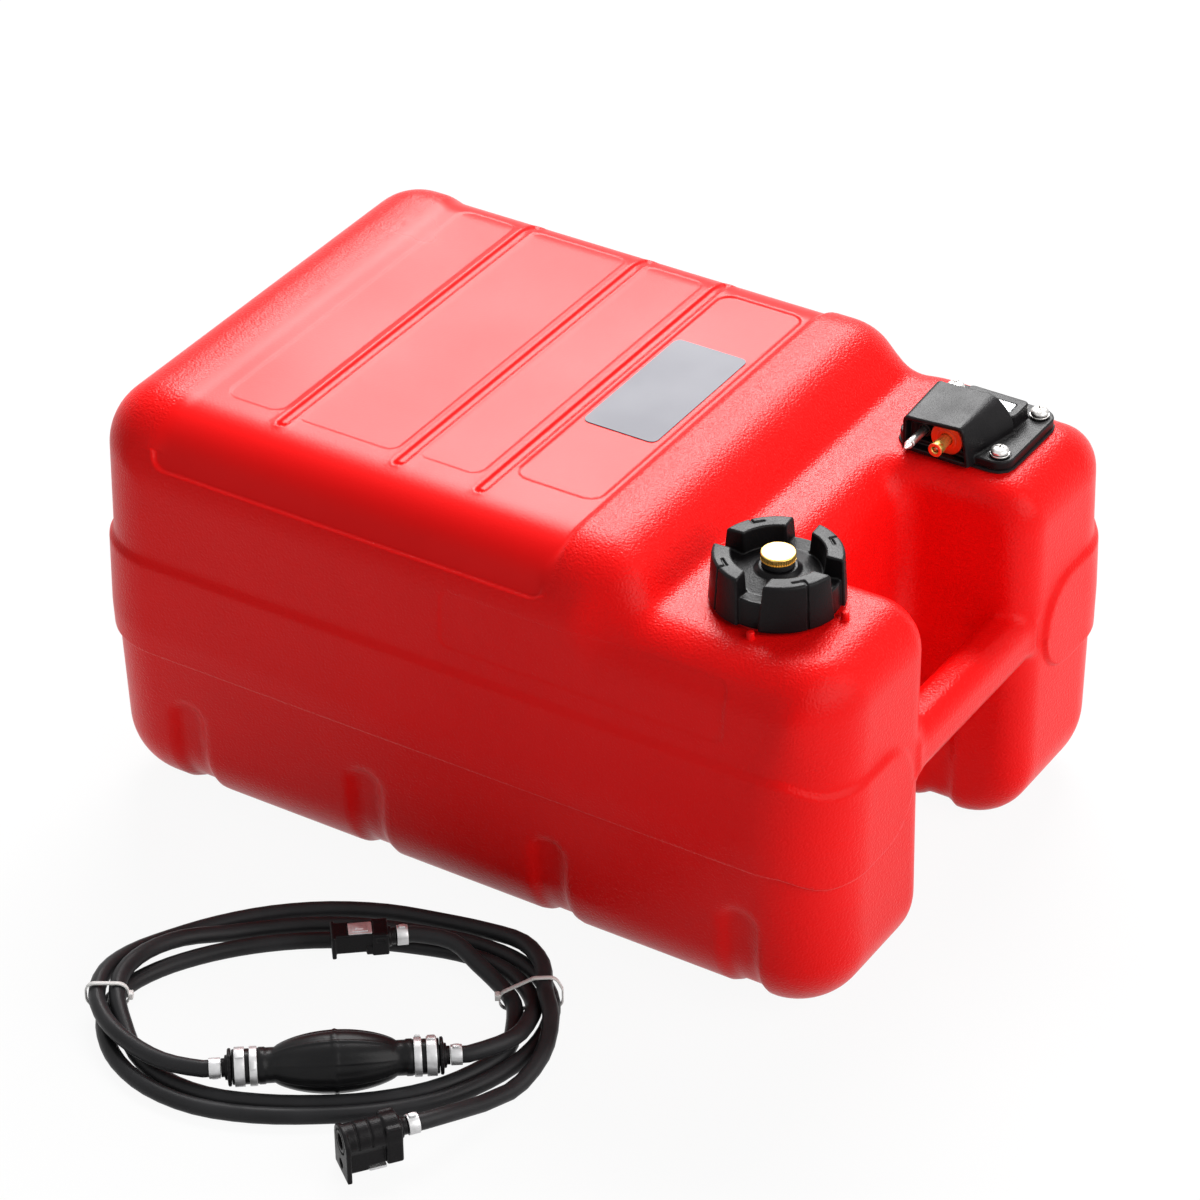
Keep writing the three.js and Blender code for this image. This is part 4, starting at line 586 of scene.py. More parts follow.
def mottle():
    """Slow change of a colour and of a mask over the surface, as in moulded plastic and old rubber."""
    tree, given, give = group(
        "Mottle", [("Color", "Color", (1, 1, 1, 1)), ("Other", "Color", (0, 0, 0, 1)),
                   ("Scale", "Float", 20.0), ("Amount", "Float", 0.3)],
        [("Color", "Color"), ("Mask", "Float")])
    place = put(tree, "TexCoord").outputs["Object"]
    span = spread(tree, noise(tree, given, place, 4.0), 0.3, 0.7)
    part = maths(tree, "MULTIPLY", span, given.outputs["Amount"])
    give("Color", blended(tree, part, given.outputs["Color"], given.outputs["Other"]))
    give("Mask", span)
    return tree


def edge_wear():
    """Mask of the proud edges that hands and other gear rub bright."""
    tree, given, give = group(
        "Edge Wear", [("Amount", "Float", 0.5), ("Scale", "Float", 120.0)], [("Mask", "Float")])
    edge = spread(tree, put(tree, "NewGeometry").outputs["Pointiness"], 0.52, 0.62)
    place = put(tree, "TexCoord").outputs["Object"]
    both = maths(tree, "MULTIPLY", edge, spread(tree, noise(tree, given, place, 5.0), 0.4, 0.65))
    give("Mask", maths(tree, "MULTIPLY", both, given.outputs["Amount"], use_clamp=True))
    return tree


def drawn_lines():
    """Fine lines left by drawing, turning or extruding, stretched along one axis."""
    tree, given, give = group(
        "Drawn Lines", [("Stretch", "Vector", (1.0, 1.0, 1.0)), ("Scale", "Float", 900.0)],
        [("Height", "Float"), ("Mask", "Float")])
    place = put(tree, "TexCoord").outputs["Object"]
    long = put(tree, "VectorMath", {0: place, 1: given.outputs["Stretch"]}, operation="MULTIPLY")
    lines = noise(tree, given, long.outputs["Vector"], 3.0)
    give("Height", lines)
    give("Mask", spread(tree, lines, 0.35, 0.65))
    return tree


GROUP_MAKERS = {
    "Orange Peel": orange_peel, "Mottle": mottle, "Edge Wear": edge_wear, "Drawn Lines": drawn_lines,
}
GROUPS = {}


def placed_group(tree, name, **values):
    """A shared group placed in a material with its own values."""
    if name not in GROUPS:
        GROUPS[name] = GROUP_MAKERS[name]()
    made = tree.nodes.new("ShaderNodeGroup")
    made.node_tree = GROUPS[name]
    for label, value in values.items():
        feed(tree, made.inputs[label], value)
    return made


def material(name, roughness, **sockets):
    """A new material: its tree and its Principled shader."""
    made = bpy.data.materials.new(name)
    made.use_nodes = True
    tree = made.node_tree
    shader = tree.nodes["Principled BSDF"]
    shader.inputs["Roughness"].default_value = roughness
    for label, value in sockets.items():
        shader.inputs[label.replace("_", " ")].default_value = value
    return made, tree, shader


def ranged(tree, mask, low, high):
    """A mask turned into a value between two limits."""
    return put(tree, "MapRange", {"Value": mask, "To Min": low, "To Max": high}).outputs["Result"]


def bumped(tree, shader, height, distance):
    """Bump of a height, in metres, on a shader."""
    bump = put(tree, "Bump", {"Height": height, "Distance": distance, "Strength": 1.0})
    tree.links.new(bump.outputs["Normal"], shader.inputs["Normal"])


def blended(tree, mask, first, second):
    """Two colours mixed by a mask."""
    mix = put(tree, "Mix", {"Factor": mask}, data_type="RGBA")
    feed(tree, mix.inputs[6], first)
    feed(tree, mix.inputs[7], second)
    return mix.outputs[2]


def rgba(color):
    """A colour with full opacity."""
    return (*(min(1.0, c) for c in color), 1.0)


def coloured(tree, shader, color, other, scale, amount, wear=None):
    """Mottled base colour, paler on rubbed edges where asked. Gives the mask of the mottle."""
    tone = placed_group(tree, "Mottle", Color=rgba(color), Other=rgba(other), Scale=scale, Amount=amount)
    shown = tone.outputs["Color"]
    if wear:
        worn = placed_group(tree, "Edge Wear", Amount=wear[0], Scale=wear[1])
        shown = blended(tree, worn.outputs["Mask"], shown, rgba(wear[2]))
    tree.links.new(shown, shader.inputs["Base Color"])
    return tone.outputs["Mask"]


def textured(tree, shader, mask, roughness, grain, depth):
    """Roughness that follows a mask between two limits, and the bump of a grain."""
    tree.links.new(ranged(tree, mask, *roughness), shader.inputs["Roughness"])
    bumped(tree, shader, grain.outputs["Height"], depth)


def shares(color, share):
    """A colour made darker or lighter."""
    return tuple(c * share for c in color)


def shell_finish(look):
    """Red moulded polyethylene: pebbled, smoother in the recessed top, paler along its edges."""
    made, tree, shader = material("Moulded Red Body", 0.3, Specular_IOR_Level=0.1)
    mask = coloured(tree, shader, look.shell_color, shares(look.shell_color, 0.85), 9.0, 0.35,
                    (0.25, 60.0, (0.95, 0.05, 0.05)))
    quiet = put(tree, "Attribute", attribute_name="quiet").outputs["Fac"]
    peel = placed_group(tree, "Orange Peel", Scale=880.0, Quiet=quiet)
    textured(tree, shader, mask, (0.27, 0.34), peel, look.stipple_depth)
    return made


def plastic_finish(look):
    """Black moulded nylon with a fine spark texture and greyed edges."""
    made, tree, shader = material("Satin Black Moulding", 0.42, Specular_IOR_Level=0.11)
    mask = coloured(tree, shader, look.plastic_color, shares(look.plastic_color, 1.8), 60.0, 0.5,
                    (0.5, 300.0, (0.07, 0.07, 0.075)))
    spark = placed_group(tree, "Orange Peel", Scale=1500.0, Quiet=0.0)
    textured(tree, shader, mask, (0.3, 0.42), spark, 0.00008)
    return made


def rubber_finish(look, name, roughness, share=1.0):
    """Black rubber with extrusion lines and a dusty bloom."""
    made, tree, shader = material(name, 0.5, Specular_IOR_Level=0.13)
    color = look.rubber_color
    mask = coloured(tree, shader, shares(color, share), shares(color, 2.2 * share), 35.0, 0.5)
    lines = placed_group(tree, "Drawn Lines", Stretch=(1, 1, 1), Scale=700.0)
    textured(tree, shader, mask, roughness, lines, 0.00006)
    return made


def metal_finish(name, bright, dull, stretch, roughness, metallic=1.0):
    """Turned or drawn metal with fine lines and a little tarnish."""
    made, tree, shader = material(name, 0.25, Metallic=metallic)
    coloured(tree, shader, bright, dull, 180.0, 0.6)
    lines = placed_group(tree, "Drawn Lines", Stretch=stretch, Scale=1600.0)
    textured(tree, shader, lines.outputs["Mask"], roughness, lines, 0.00003)
    return made


def simple_finish(name, color, other, scale, roughness, depth=0.00004, **sockets):
    """A moulded or printed surface with a little mottle and a fine grain."""
    made, tree, shader = material(name, 0.5, **sockets)
    mask = coloured(tree, shader, color, other, scale, 0.6)
    grain = placed_group(tree, "Orange Peel", Scale=scale * 20, Quiet=0.0)
    textured(tree, shader, mask, roughness, grain, depth)
    return made


def glass_finish():
    """Clear moulded window."""
    made, tree, shader = material(
        "Clear Window", 0.25, IOR=1.49, Specular_IOR_Level=0.04, Transmission_Weight=0.9)
    mask = placed_group(tree, "Mottle", Scale=40.0, Amount=1.0).outputs["Mask"]
    color = blended(tree, mask, (0.85, 0.88, 0.9, 1), (0.95, 0.96, 0.97, 1))
    tree.links.new(color, shader.inputs["Base Color"])
    return made


MAKERS = {
    "glass": lambda f: glass_finish(),
    "shell": shell_finish,
    "plastic": plastic_finish,
    "hose": lambda f: rubber_finish(f, "Extruded Hose Rubber", (0.36, 0.5), 2.4),
    "bulb": lambda f: rubber_finish(f, "Moulded Bulb Rubber", (0.26, 0.38)),
    "gasket": lambda f: rubber_finish(f, "Gasket Rubber", (0.55, 0.7), 2.0),
    "brass": lambda f: metal_finish(
        "Turned Brass", (0.80, 0.50, 0.13), (0.56, 0.32, 0.07), (1, 1, 5), (0.24, 0.38), metallic=0.75),
    "pale_brass": lambda f: metal_finish(
        "Faced Brass", (0.66, 0.57, 0.39), (0.56, 0.45, 0.27), (1, 1, 1), (0.34, 0.46)),
    "steel": lambda f: metal_finish(
        "Turned Steel", (0.66, 0.64, 0.62), (0.46, 0.45, 0.44), (1, 1, 4), (0.28, 0.42)),
    "zinc": lambda f: metal_finish(
        "Zinc Plated Strip", (0.66, 0.66, 0.67), (0.42, 0.42, 0.42), (3, 1, 1), (0.34, 0.5), metallic=0.7),
    "seal": lambda f: simple_finish(
        "Red Seal Rubber", (0.92, 0.055, 0.006), (0.80, 0.04, 0.005), 90.0, (0.4, 0.55)),
    "label": lambda f: simple_finish(
        "Bare Label Film", f.label_color, (0.15, 0.15, 0.17), 25.0, (0.5, 0.6), 0.00001,
        Specular_IOR_Level=0.25),
    "white": lambda f: simple_finish(
        "White Nylon", (0.70, 0.70, 0.69), (0.62, 0.62, 0.60), 60.0, (0.4, 0.5)),
    "dial": lambda f: simple_finish(
        "Dial Face", (0.42, 0.42, 0.43), (0.36, 0.36, 0.37), 60.0, (0.5, 0.6)),
    "float": lambda f: simple_finish(
        "Cellular Float", (0.03, 0.03, 0.033), (0.06, 0.06, 0.06), 90.0, (0.7, 0.85)),
}
MADE = {}


def finish(name):
    """A finish by its short name, made once."""
    if name not in MADE:
        MADE[name] = MAKERS[name](bpy.context.scene.tank_finish)
    return MADE[name]


# Tank shell

SIDE = None


def side_distance(x, z):
    """Distance from the tank's side view, looked up in a table made once."""
    global SIDE
    if SIDE is None:
        SIDE = outline_lookup(filleted(SIDE_VIEW, 24), (-232, -14), (232, 246), 1.5)
    return SIDE(x, z)


def shell_field(points):
    """The tank with its draft, its notch and its carrying bar."""
    x, y, z = points.T
    above = TOP_DRAFT * (z - PARTING_HEIGHT) / (BODY_HEIGHT - PARTING_HEIGHT)
    below = BOTTOM_DRAFT * (PARTING_HEIGHT - z) / PARTING_HEIGHT
    across = np.abs(y) / (1 - np.maximum(np.maximum(above, below), 0) / (BODY_WIDTH / 2))
    near, far = (ramp(np.abs(x - middle) - half, blend) for middle, half, blend in (NEAR_RIM, FAR_RIM))
    tighter = np.where(y < 0, near, far) * ramp(RIM_LOW - z, RIM_BLEND)
    rim = SIDE_RADIUS + (DECK_SIDE_RADIUS - SIDE_RADIUS) * tighter
    body = round_and(side_distance(x, z), across - BODY_WIDTH / 2, rim)
    back, flank = NOTCH_BACK - x, across - NOTCH_HALF
    notch = round_and(back, flank, NOTCH_CORNER)
    more = np.where(z > PARTING_HEIGHT, NOTCH_FRONT_RIM_ABOVE, NOTCH_FRONT_RIM_BELOW)
    body = round_and(body, -notch, NOTCH_RIM + ramp(flank - back, NOTCH_FRONT_BLEND) * more)
    edge = np.where(z > BAR_MIDDLE[1], *BAR_EDGES)
    bar = round_and(np.abs(x - BAR_MIDDLE[0]) - BAR_HALF[0], np.abs(z - BAR_MIDDLE[1]) - BAR_HALF[1], edge)
    return round_or(body, np.maximum(bar, np.abs(y) - BAR_HALF_SPAN), BAR_FILLET)


def panel_distance(a, b, bounds, radius):
    """Distance from a flat panel with rounded corners."""
    return round_and(beyond(a, *bounds[:2]), beyond(b, *bounds[2:]), radius)


def shell_relief(points):
    """How far each point of the shell stands proud, how near it is to an edge, and the smooth top."""
    x, y, z = points.T
    rise, seam = np.zeros(len(x)), np.full(len(x), np.inf)
    middle = BELT_MIDDLE - BELT_DROP * ramp(BELT_DROP_FROM - x, BELT_DROP_BLEND)
    ends = np.minimum(BELT_END - np.abs(y), x - BELT_START)
    belt = round_and(np.abs(z - middle) - BELT_HALF, ends, BELT_CORNER)
    rise += BELT_PROUD * ramp(belt, np.where(z > middle, *BELT_EDGES))
    seam = np.minimum(seam, np.abs(belt))
    low, ends = RECESS_LOW - z, beyond(x, RECESS_MIDDLE - RECESS_HALF, RECESS_MIDDLE + RECESS_HALF)
    recess = round_and(low, ends, RECESS_CORNER)
    quiet = ramp(recess, 3)
    faded = ramp(low - ends + 2, 8) * ramp(-x, 10) * ramp(z - 224, 10)
    edge = RECESS_EDGE + BACK_EDGE * ramp(x + 165, 12)
    width = np.where(z < RECESS_LOW + LEDGE_HEIGHT, LEDGE_WIDTH, edge) + FADED_EDGE * faded
    rise -= RECESS_DEPTH * ramp(recess, width)
    seam = np.minimum(seam, np.abs(recess) * 0.8)
    top = z > BODY_HEIGHT - 15
    for middle in GROOVES:
        gap = np.hypot(x - middle, np.maximum(np.maximum(GROOVE_SPAN[0] - y, y - GROOVE_SPAN[1]), 0))
        gap = np.where(top, gap, 50)
        dot = np.where(top, np.hypot(x - middle, y - GROOVE_SPAN[0]), 50)
        rise -= GROOVE_DOT_DEPTH * ramp(dot - GROOVE_DOT_RADIUS, 1.6)
        rise -= GROOVE_DEPTH * ramp(gap - GROOVE_HALF_WIDTH, 2.2)
        rise += GROOVE_LIP * np.exp(-((gap - GROOVE_HALF_WIDTH - 1.6) / 0.9) ** 2)
        seam = np.minimum(seam, np.abs(gap - 2))
    fine = np.zeros(len(x))
    for bounds, corner, depth, blend in TOP_PANELS:
        away = np.where(top, panel_distance(x, y, bounds, corner), 50)
        fine = np.maximum(fine, depth * ramp(away, blend))
        seam = np.minimum(seam, np.abs(away) + 0.8)
    rise -= fine
    away = np.where(y < -120, panel_distance(x, z, SIDE_PANEL, 6), 50)
    rise -= SIDE_PANEL_DEPTH * ramp(away, 1.1)
    seam = np.minimum(seam, np.abs(away) + 0.8)
    for middle in CHANNELS:
        gap = np.hypot(x - middle, np.maximum(z - (CHANNEL_TOP - CHANNEL_HALF_WIDTH), 0)) - CHANNEL_HALF_WIDTH
        rise -= CHANNEL_DEPTH * ramp(gap, 7)
        seam = np.minimum(seam, np.abs(gap) + 2)
    return rise, seam, quiet


def mesh_points(mesh):
    """Places of the points of a mesh."""
    flat = np.empty(len(mesh.vertices) * 3)
    mesh.vertices.foreach_get("co", flat)
    return flat.reshape(-1, 3)


class FUELTANK_OT_shell(bpy.types.Operator):
    """Moulds the tank shell with its relief, its filler neck and its bare label"""
    bl_idname = "fuel_tank.shell"
    bl_label = "Tank Shell"

    def execute(self, context):
        cell = context.scene.tank_sizes.shell_cell / MM
        form = moulded(shell_field, (-219, -155, 0), (219, 155, 233), cell, SHELL_REACH)
        shell = piece("tank_body", form, "shell", "tank", ("tank_shell",))
        mesh = shell.data
        work = bmesh.new()
        work.from_mesh(mesh)
        for near in FINER_WITHIN:
            work.verts.index_update()
            places = np.array([vert.co[:] for vert in work.verts]) / MM
            close = shell_relief(places)[1] < near
            chosen = [edge for edge in work.edges
                      if close[edge.verts[0].index] and close[edge.verts[1].index]]
            bmesh.ops.subdivide_edges(work, edges=chosen, cuts=1, use_grid_fill=True)
        work.to_mesh(mesh)
        work.free()
        places = settled(shell_field, mesh_points(mesh) / MM, SHELL_REACH, 2)
        rise, _, quiet = shell_relief(places)
        slope = slope_of(shell_field, places, SHELL_REACH)
        slope /= np.maximum(np.linalg.norm(slope, axis=1), 1e-6)[:, None]
        mesh.vertices.foreach_set("co", ((places + slope * rise[:, None]) * MM).ravel())
        smoothed(mesh)
        mesh.attributes.new("quiet", "FLOAT", "POINT").data.foreach_set("value", quiet)
        mesh.update()
        self.neck()
        self.label()
        return {"FINISHED"}

    def neck(self):
        """Filler neck with its thread, its flare and the two stop lugs."""
        x, y, _ = CAP_PLACE
        deck = DECK_HEIGHT
        profile = softened([
            (20, deck - 5, 0), (20, NECK_TOP, 0.6), (23.5, NECK_TOP, 0.6), (23.5, deck + 2, 1.5),
            (29, deck + 1, 1), (29.6, deck - 1, 0)])
        thread = []
        for i in range(76):
            turn = 2 * math.pi * i / 60
            out = np.array((math.cos(turn), math.sin(turn), 0))
            fade = min(1, i / 6, (75 - i) / 6)
            thread.append((out * (23.3 + 0.1 * fade) + (0, 0, deck + 2 + 6 * i / 60), out * max(fade, 0.05),
                           np.array((0, 0, 1.0))))
        ridge = swept(thread, ((-0.6, -1.0), (1.1, -0.35), (1.1, 0.35), (-0.6, 1.0)))
        lugs = []
        for turn in LUG_TURNS:
            angle = math.radians(turn)
            spot = (LUG_DISTANCE * math.cos(angle), LUG_DISTANCE * math.sin(angle), 0)
            peg = turned(softened([(2.5, deck - 2, 0), (2.05, deck + 1, 1), (1.9, deck + 3.8, 0.7),
                                   (0, deck + 3.8, 0)]), 20)
            lugs.append(carried(Matrix.Translation(spot), peg))
        neck = turned(profile, 64)
        piece("filler_neck", joined(neck, ridge, *lugs), "shell", "tank",
              place=Matrix.Translation((x, y, 0)), sharp=50, weld=True)

    def label(self):
        """Bare information label in its shallow panel."""
        low = BODY_HEIGHT - RECESS_DEPTH - LABEL_PANEL_DEPTH + 0.05
        form = slab_form(rectangle(*LABEL_PLATE, 4), low, low + 0.4, 0.12)
        piece("bare_label", form, "label", "tank", ("label_plate",), sharp=15)


# Filler cap

def cap_field(points):
    """The cap: a dished disc with four grips round it, hollow from below."""
    x, y, z = points.T
    away = np.hypot(x, y)
    taper = (CAP_FOOT - CAP_TOP) * np.clip(z, 0, CAP_HEIGHT) / CAP_HEIGHT
    floor = np.interp(away, (0, CAP_HUB, CAP_HUB + 2.2, CAP_INNER, CAP_WAIST), (17.8, 17.8, 15.6, 13.2, 14.8))
    core = round_and(away - (CAP_WAIST - taper), z - floor, 1.2)
    grip = round_and(away - (CAP_FOOT - taper), z - CAP_HEIGHT, 1.6)
    grip = round_and(grip, CAP_INNER + 0.08 * (z - 13) - away, 0.9)
    grip = round_and(grip, GRIP_HALF + 0.06 * (z - 13) - np.minimum(np.abs(x), np.abs(y)), 1.1)
    solid = round_or(core, grip, 0.9)
    solid = round_and(solid, -z, 1.0)
    turn = np.arctan2(y, x)
    quarter = (turn + math.radians(38)) % (math.pi / 2) - math.radians(90)
    quarter = np.where(quarter < -math.pi / 4, quarter + math.pi / 2, quarter)
    side = away * quarter
    outer = CAP_FOOT - taper
    line, low = np.abs(side) - GRIP_LINE_HALF, CAP_HEIGHT - GRIP_LINE_DEPTH - z
    upright = np.maximum(line, outer - GRIP_LINE_DEPTH - away)
    over = np.maximum(np.maximum(line, 26.9 - away), low)
    hook = np.maximum(np.maximum(np.abs(side + 2.7) - 3.3, np.abs(away - 27.5) - GRIP_LINE_HALF), low)
    lines = np.minimum(np.minimum(upright, over), hook)
    solid = round_cut(solid, lines, 0.15)
    under = round_and(away - 26.2, z - 10.2, 1)
    solid = round_cut(solid, under, 0.5)
    return round_cut(solid, away - 4.3, 0.4)


def knurl(turns, station, radius):
    """Straight knurl on the rim of the air screw."""
    band = (station > 0.5) & (station < 3.1) & (radius > 8)
    return np.where(band, -KNURL_DEPTH * np.abs(np.sin(KNURL_LINES / 2 * turns)), 0)


class FUELTANK_OT_cap(bpy.types.Operator):
    """Moulds the filler cap and turns its air screw"""
    bl_idname = "fuel_tank.cap"
    bl_label = "Filler Cap"

    def execute(self, context):
        place = Matrix.Translation(CAP_PLACE) @ about("Z", CAP_TURN)
        fitting("grip_cap", cap_field, (-34, -34, 0), (34, 34, CAP_HEIGHT), "cap", "filler_cap", place)
        stations = np.concatenate(([0, 0.3, 0.5], np.linspace(0.55, 3.05, 6), [3.15, 3.4]))
        rim = [(8.35, 0)] + [(8.6, s) for s in stations[1:]]
        profile = [(0, -15), (3.2, -15), (3.8, -14.4), (3.8, 0)] + rim
        profile += [(8.45, 3.75), (8.1, 4.0), (7.4, 4.0), (0, 4.0)]
        head = turned(profile, 336, swell=knurl)
        up = place @ raised(21.2)
        piece("air_screw_head", head, "brass", "air_screw", ("vent_screw",), up, sharp=40, weld=True)
        disc = turned([(0, 4.0), (7.3, 4.0), (7.5, 4.02), (7.3, 4.05), (0, 4.07)], 64)
        piece("air_screw_face", disc, "pale_brass", "air_screw", place=up, weld=True)
        washer = ring_form(4.3, 8.2, 0, 2.8, 0.5)
        piece("screw_cushion", washer, "gasket", "washer", ("vent_washer",), place @ raised(18.1), sharp=40)
        return {"FINISHED"}


# Fuel meter

def housing_field(points):
    """Meter housing: a flange on four screws, a platform for the window and the hood over the outlet."""
    x, y, z = points.T
    plan = round_and(np.abs(x) - FLANGE_HALF[0], np.abs(y) - FLANGE_HALF[1], FLANGE_CORNER)
    flange = round_and(plan, beyond(z, 0, FLANGE_HEIGHT), FITTING_EDGE)
    plan = round_and(np.abs(x - 3) - 16.9, np.abs(y - 9.75) - 8.75, 3)
    platform = round_and(plan, beyond(z, 0, HOOD_WAIST_HEIGHT), FITTING_EDGE)

    def sides(along, inset):
        """The hood's left wall, sloping top and two-part right wall, widening from its mouth."""
        foot, waist = 13.1 + 7.8 * along, 12 + 7.9 * along
        left = HOOD_LEFT - x + inset
        lower = (x - foot) * HOOD_WAIST_HEIGHT + (foot - waist) * z
        lower = lower / np.hypot(HOOD_WAIST_HEIGHT, foot - waist) + inset
        upper = HOOD_SLOPE_HEIGHT * (x - waist) + (waist - HOOD_CREST) * (z - HOOD_WAIST_HEIGHT)
        upper = upper / np.hypot(HOOD_SLOPE_HEIGHT, waist - HOOD_CREST) + inset
        leftward = np.clip((9 - x) / 28, 0, 1)
        ceiling = z - HOOD_TOP + inset + 0.7 + 1.4 * leftward + (2 + 0.7 * leftward) * (1 - along)
        radius = HOOD_CORNER - inset * 0.8
        return round_and(round_and(left, ceiling, radius), round_and(lower, upper, radius), radius)

    along = np.clip((y - MOUTH_Y) / HOOD_LENGTH, 0, 1)
    hood = round_and(sides(along, 0), beyond(y, MOUTH_Y, MOUTH_Y + HOOD_LENGTH), FITTING_EDGE)
    hood = np.maximum(hood, -z)
    hollow = np.maximum(sides(0, HOOD_WALL), y + 8)
    hollow = np.maximum(hollow, HOOD_WALL - z)
    bosses = np.minimum(*(bar_field(points, 1, (middle, OUTLET_Z), radius, MOUTH_Y + BOSS_DEPTH, 0, 0.5)
                          for middle, radius in ((SPIGOT_X, 9.4), (PIN_X, 3.9))))
    hollow = np.maximum(hollow, -bosses)
    around = np.hypot(x + SCREW_HALF[0], y + SCREW_HALF[1])
    hood = round_cut(hood, np.maximum(around - ALCOVE_RADIUS, z - ALCOVE_TOP), 0.5)
    sleeve = np.maximum(np.maximum(around - SLEEVE_RADIUS, hood), z - SLEEVE_TOP)
    hood = np.minimum(round_cut(hood, hollow, 0.5), sleeve)
    solid = round_or(round_or(flange, platform, 0.8), hood, 0.8)
    pocket = round_and(panel_distance(x, y, (-10, 15.6, 1.2, 12.8), 1), 8 - z, 0.3)
    solid = round_cut(solid, pocket, 0.4)
    for i in (-1, 1):
        for j in (-1, 1):
            around = np.hypot(x - i * SCREW_HALF[0], y - j * SCREW_HALF[1])
            relief = np.maximum(around - SCREW_RELIEF, np.maximum(FLANGE_HEIGHT - z, z - ALCOVE_TOP))
            solid = round_cut(solid, relief, 0.5)
            solid = round_cut(solid, np.maximum(around - SCREW_BORE, z - ALCOVE_TOP), 0.3)
    bore = np.minimum(np.hypot(x - SPIGOT_X, z - OUTLET_Z) - 3.3, np.hypot(x - PIN_X, z - OUTLET_Z) - 2.5)
    return round_cut(solid, np.maximum(bore, y + 16), 0.3)


class FUELTANK_OT_meter(bpy.types.Operator):
    """Moulds the meter housing and fits its spigot, pin, seal, screws and dial"""
    bl_idname = "fuel_tank.meter"
    bl_label = "Fuel Meter"

    def execute(self, context):
        place = Matrix.Translation(METER_PLACE)
        low, high = (-32, MOUTH_Y, 0), (32, 29.5, HOOD_TOP)
        fitting("meter_hood", housing_field, low, high, "tank", "meter_housing", place)
        self.outlet(place)
        self.screws(place)
        self.dial(place)
        return {"FINISHED"}

    def outlet(self, place):
        """Brass spigot with its cross holes, red seal and steel guide pin."""
        line = place @ Matrix.Translation((SPIGOT_X, MOUTH_Y, OUTLET_Z)) @ UP_TO_Y
        profile = softened([
            (1.9, 6, 0), (1.9, -7.4, 0.2), (2.3, -7.9, 0.2), (3.1, -7.9, 0.2), (3.5, -7.3, 0.2),
            (3.5, -3.4, 0.4), (3.1, -2.6, 0.4), (3.1, 18.2, 0.1), (1.9, 18.2, 0)])
        spigot = piece("fuel_nozzle", turned(profile, 64), "brass", "tank", ("fuel_spigot",), line,
                       sharp=40, weld=True)
        for turn in (45, 135):
            hole = turned([(0, -6), (0.9, -6), (0.9, 6), (0, 6)], 24)
            spot = line @ raised(-5.3) @ about("Z", turn) @ UP_TO_X
            cut_with(spigot, hole, spot)
        lip = ring_form(2.2, 3.7, -8.5, -7.5, 0.4, 48)
        piece("nozzle_ring", lip, "seal", "tank", place=line, sharp=50)
        bore = turned([(0, -3), (1.85, -3), (1.85, 5.5), (0, 5.5)], 32)
        piece("nozzle_bore", bore, "gasket", "tank", place=line, weld=True)
        poppet = turned([(0, -6.9), (0.6, -6.7), (0.95, -6.1), (0.95, -3)], 24)
        piece("nozzle_poppet", poppet, "steel", "tank", place=line, weld=True)
        profile = softened([(3.3, 5.2, 0), (3.3, 3.6, 0.3), (5.2, 3.6, 0.4), (5.6, 4.0, 0.4), (8.0, 3.8, 0.4),
                            (8.8, 3.9, 0.5), (8.8, 5.2, 0)])
        piece("outlet_seal", turned(profile, 64), "seal", "tank", ("spigot_seal",), line, sharp=50)
        line = place @ Matrix.Translation((PIN_X, MOUTH_Y, OUTLET_Z)) @ UP_TO_Y
        profile = softened([
            (0, -14.5, 0), (0.5, -14.4, 0.3), (2.2, -10.6, 0.5), (2.2, -9.4, 0.2), (1.75, -9.1, 0.2),
            (1.75, -8.5, 0.2), (2.2, -8.2, 0.2), (2.2, 17.2, 0.2), (0, 17.2, 0)])
        piece("steel_pin", turned(profile, 48), "steel", "tank", ("guide_pin",), line, sharp=40, weld=True)

    def screws(self, place):
        """Four pan-head screws on washers."""
        corners = ((-1, -1), (1, -1), (1, 1), (-1, 1))
        for number, (i, j) in enumerate(corners, 1):
            spot = place @ Matrix.Translation((i * SCREW_HALF[0], j * SCREW_HALF[1], 5.3))
            washer = ring_form(2.2, 5.1, 0, 1, 0.25, 40)
            piece(f"flat_washer_{number}", washer, "steel", "tank", (f"screw_washer_{number}",), spot,
                  sharp=40)
            head = [(0, -14), (1.9, -13), (1.9, 1.3), (4.4, 1.3), (4.7, 1.6), (4.7, 2.2)]
            head += [(4.7 * math.cos(t), 2.2 + 2.3 * math.sin(t)) for t in np.linspace(0.15, 1.5, 8)]
            head += [(0, 4.5)]
            spot = spot @ Matrix.Rotation(0.35 + 0.63 * number, 4, "Z")
            screw = piece(f"pan_screw_{number}", turned(head, 48), "steel", "tank",
                          (f"housing_screw_{number}",), spot, sharp=50, weld=True)
            for turn in (0, 90):
                slot = slab_form(rectangle(-2.5, 2.5, -0.5, 0.5, 0.2), 2.7, 6, 0.05, 2)
                cut_with(screw, slot, spot @ about("Z", turn))

    def dial(self, place):
        """Scale marks on the dial: a long mark at each end and in the middle, short ones between."""
        marks = []
        for i in range(-4, 5):
            length = 1.7 if i % 4 == 0 else 0.9
            bar = slab_form(rectangle(-0.22, 0.22, 5.4 - length, 5.4, 0.05), 0, 0.06, 0.01, 1)
            marks.append(carried(about("Z", -16 * i), bar))
        spot = place @ Matrix.Translation((2.8, 4.9, 8.66))
        piece("dial_scale", joined(*marks), "gasket", "tank", place=spot)


# Fuel line

def coil_world(p, q, z):
    """A place in the coil's own plane, in the model."""
    turn = math.radians(COIL_TURN)
    return np.array((COIL_PLACE[0] + p * math.cos(turn) - q * math.sin(turn),
                     COIL_PLACE[1] + p * math.sin(turn) + q * math.cos(turn), z))


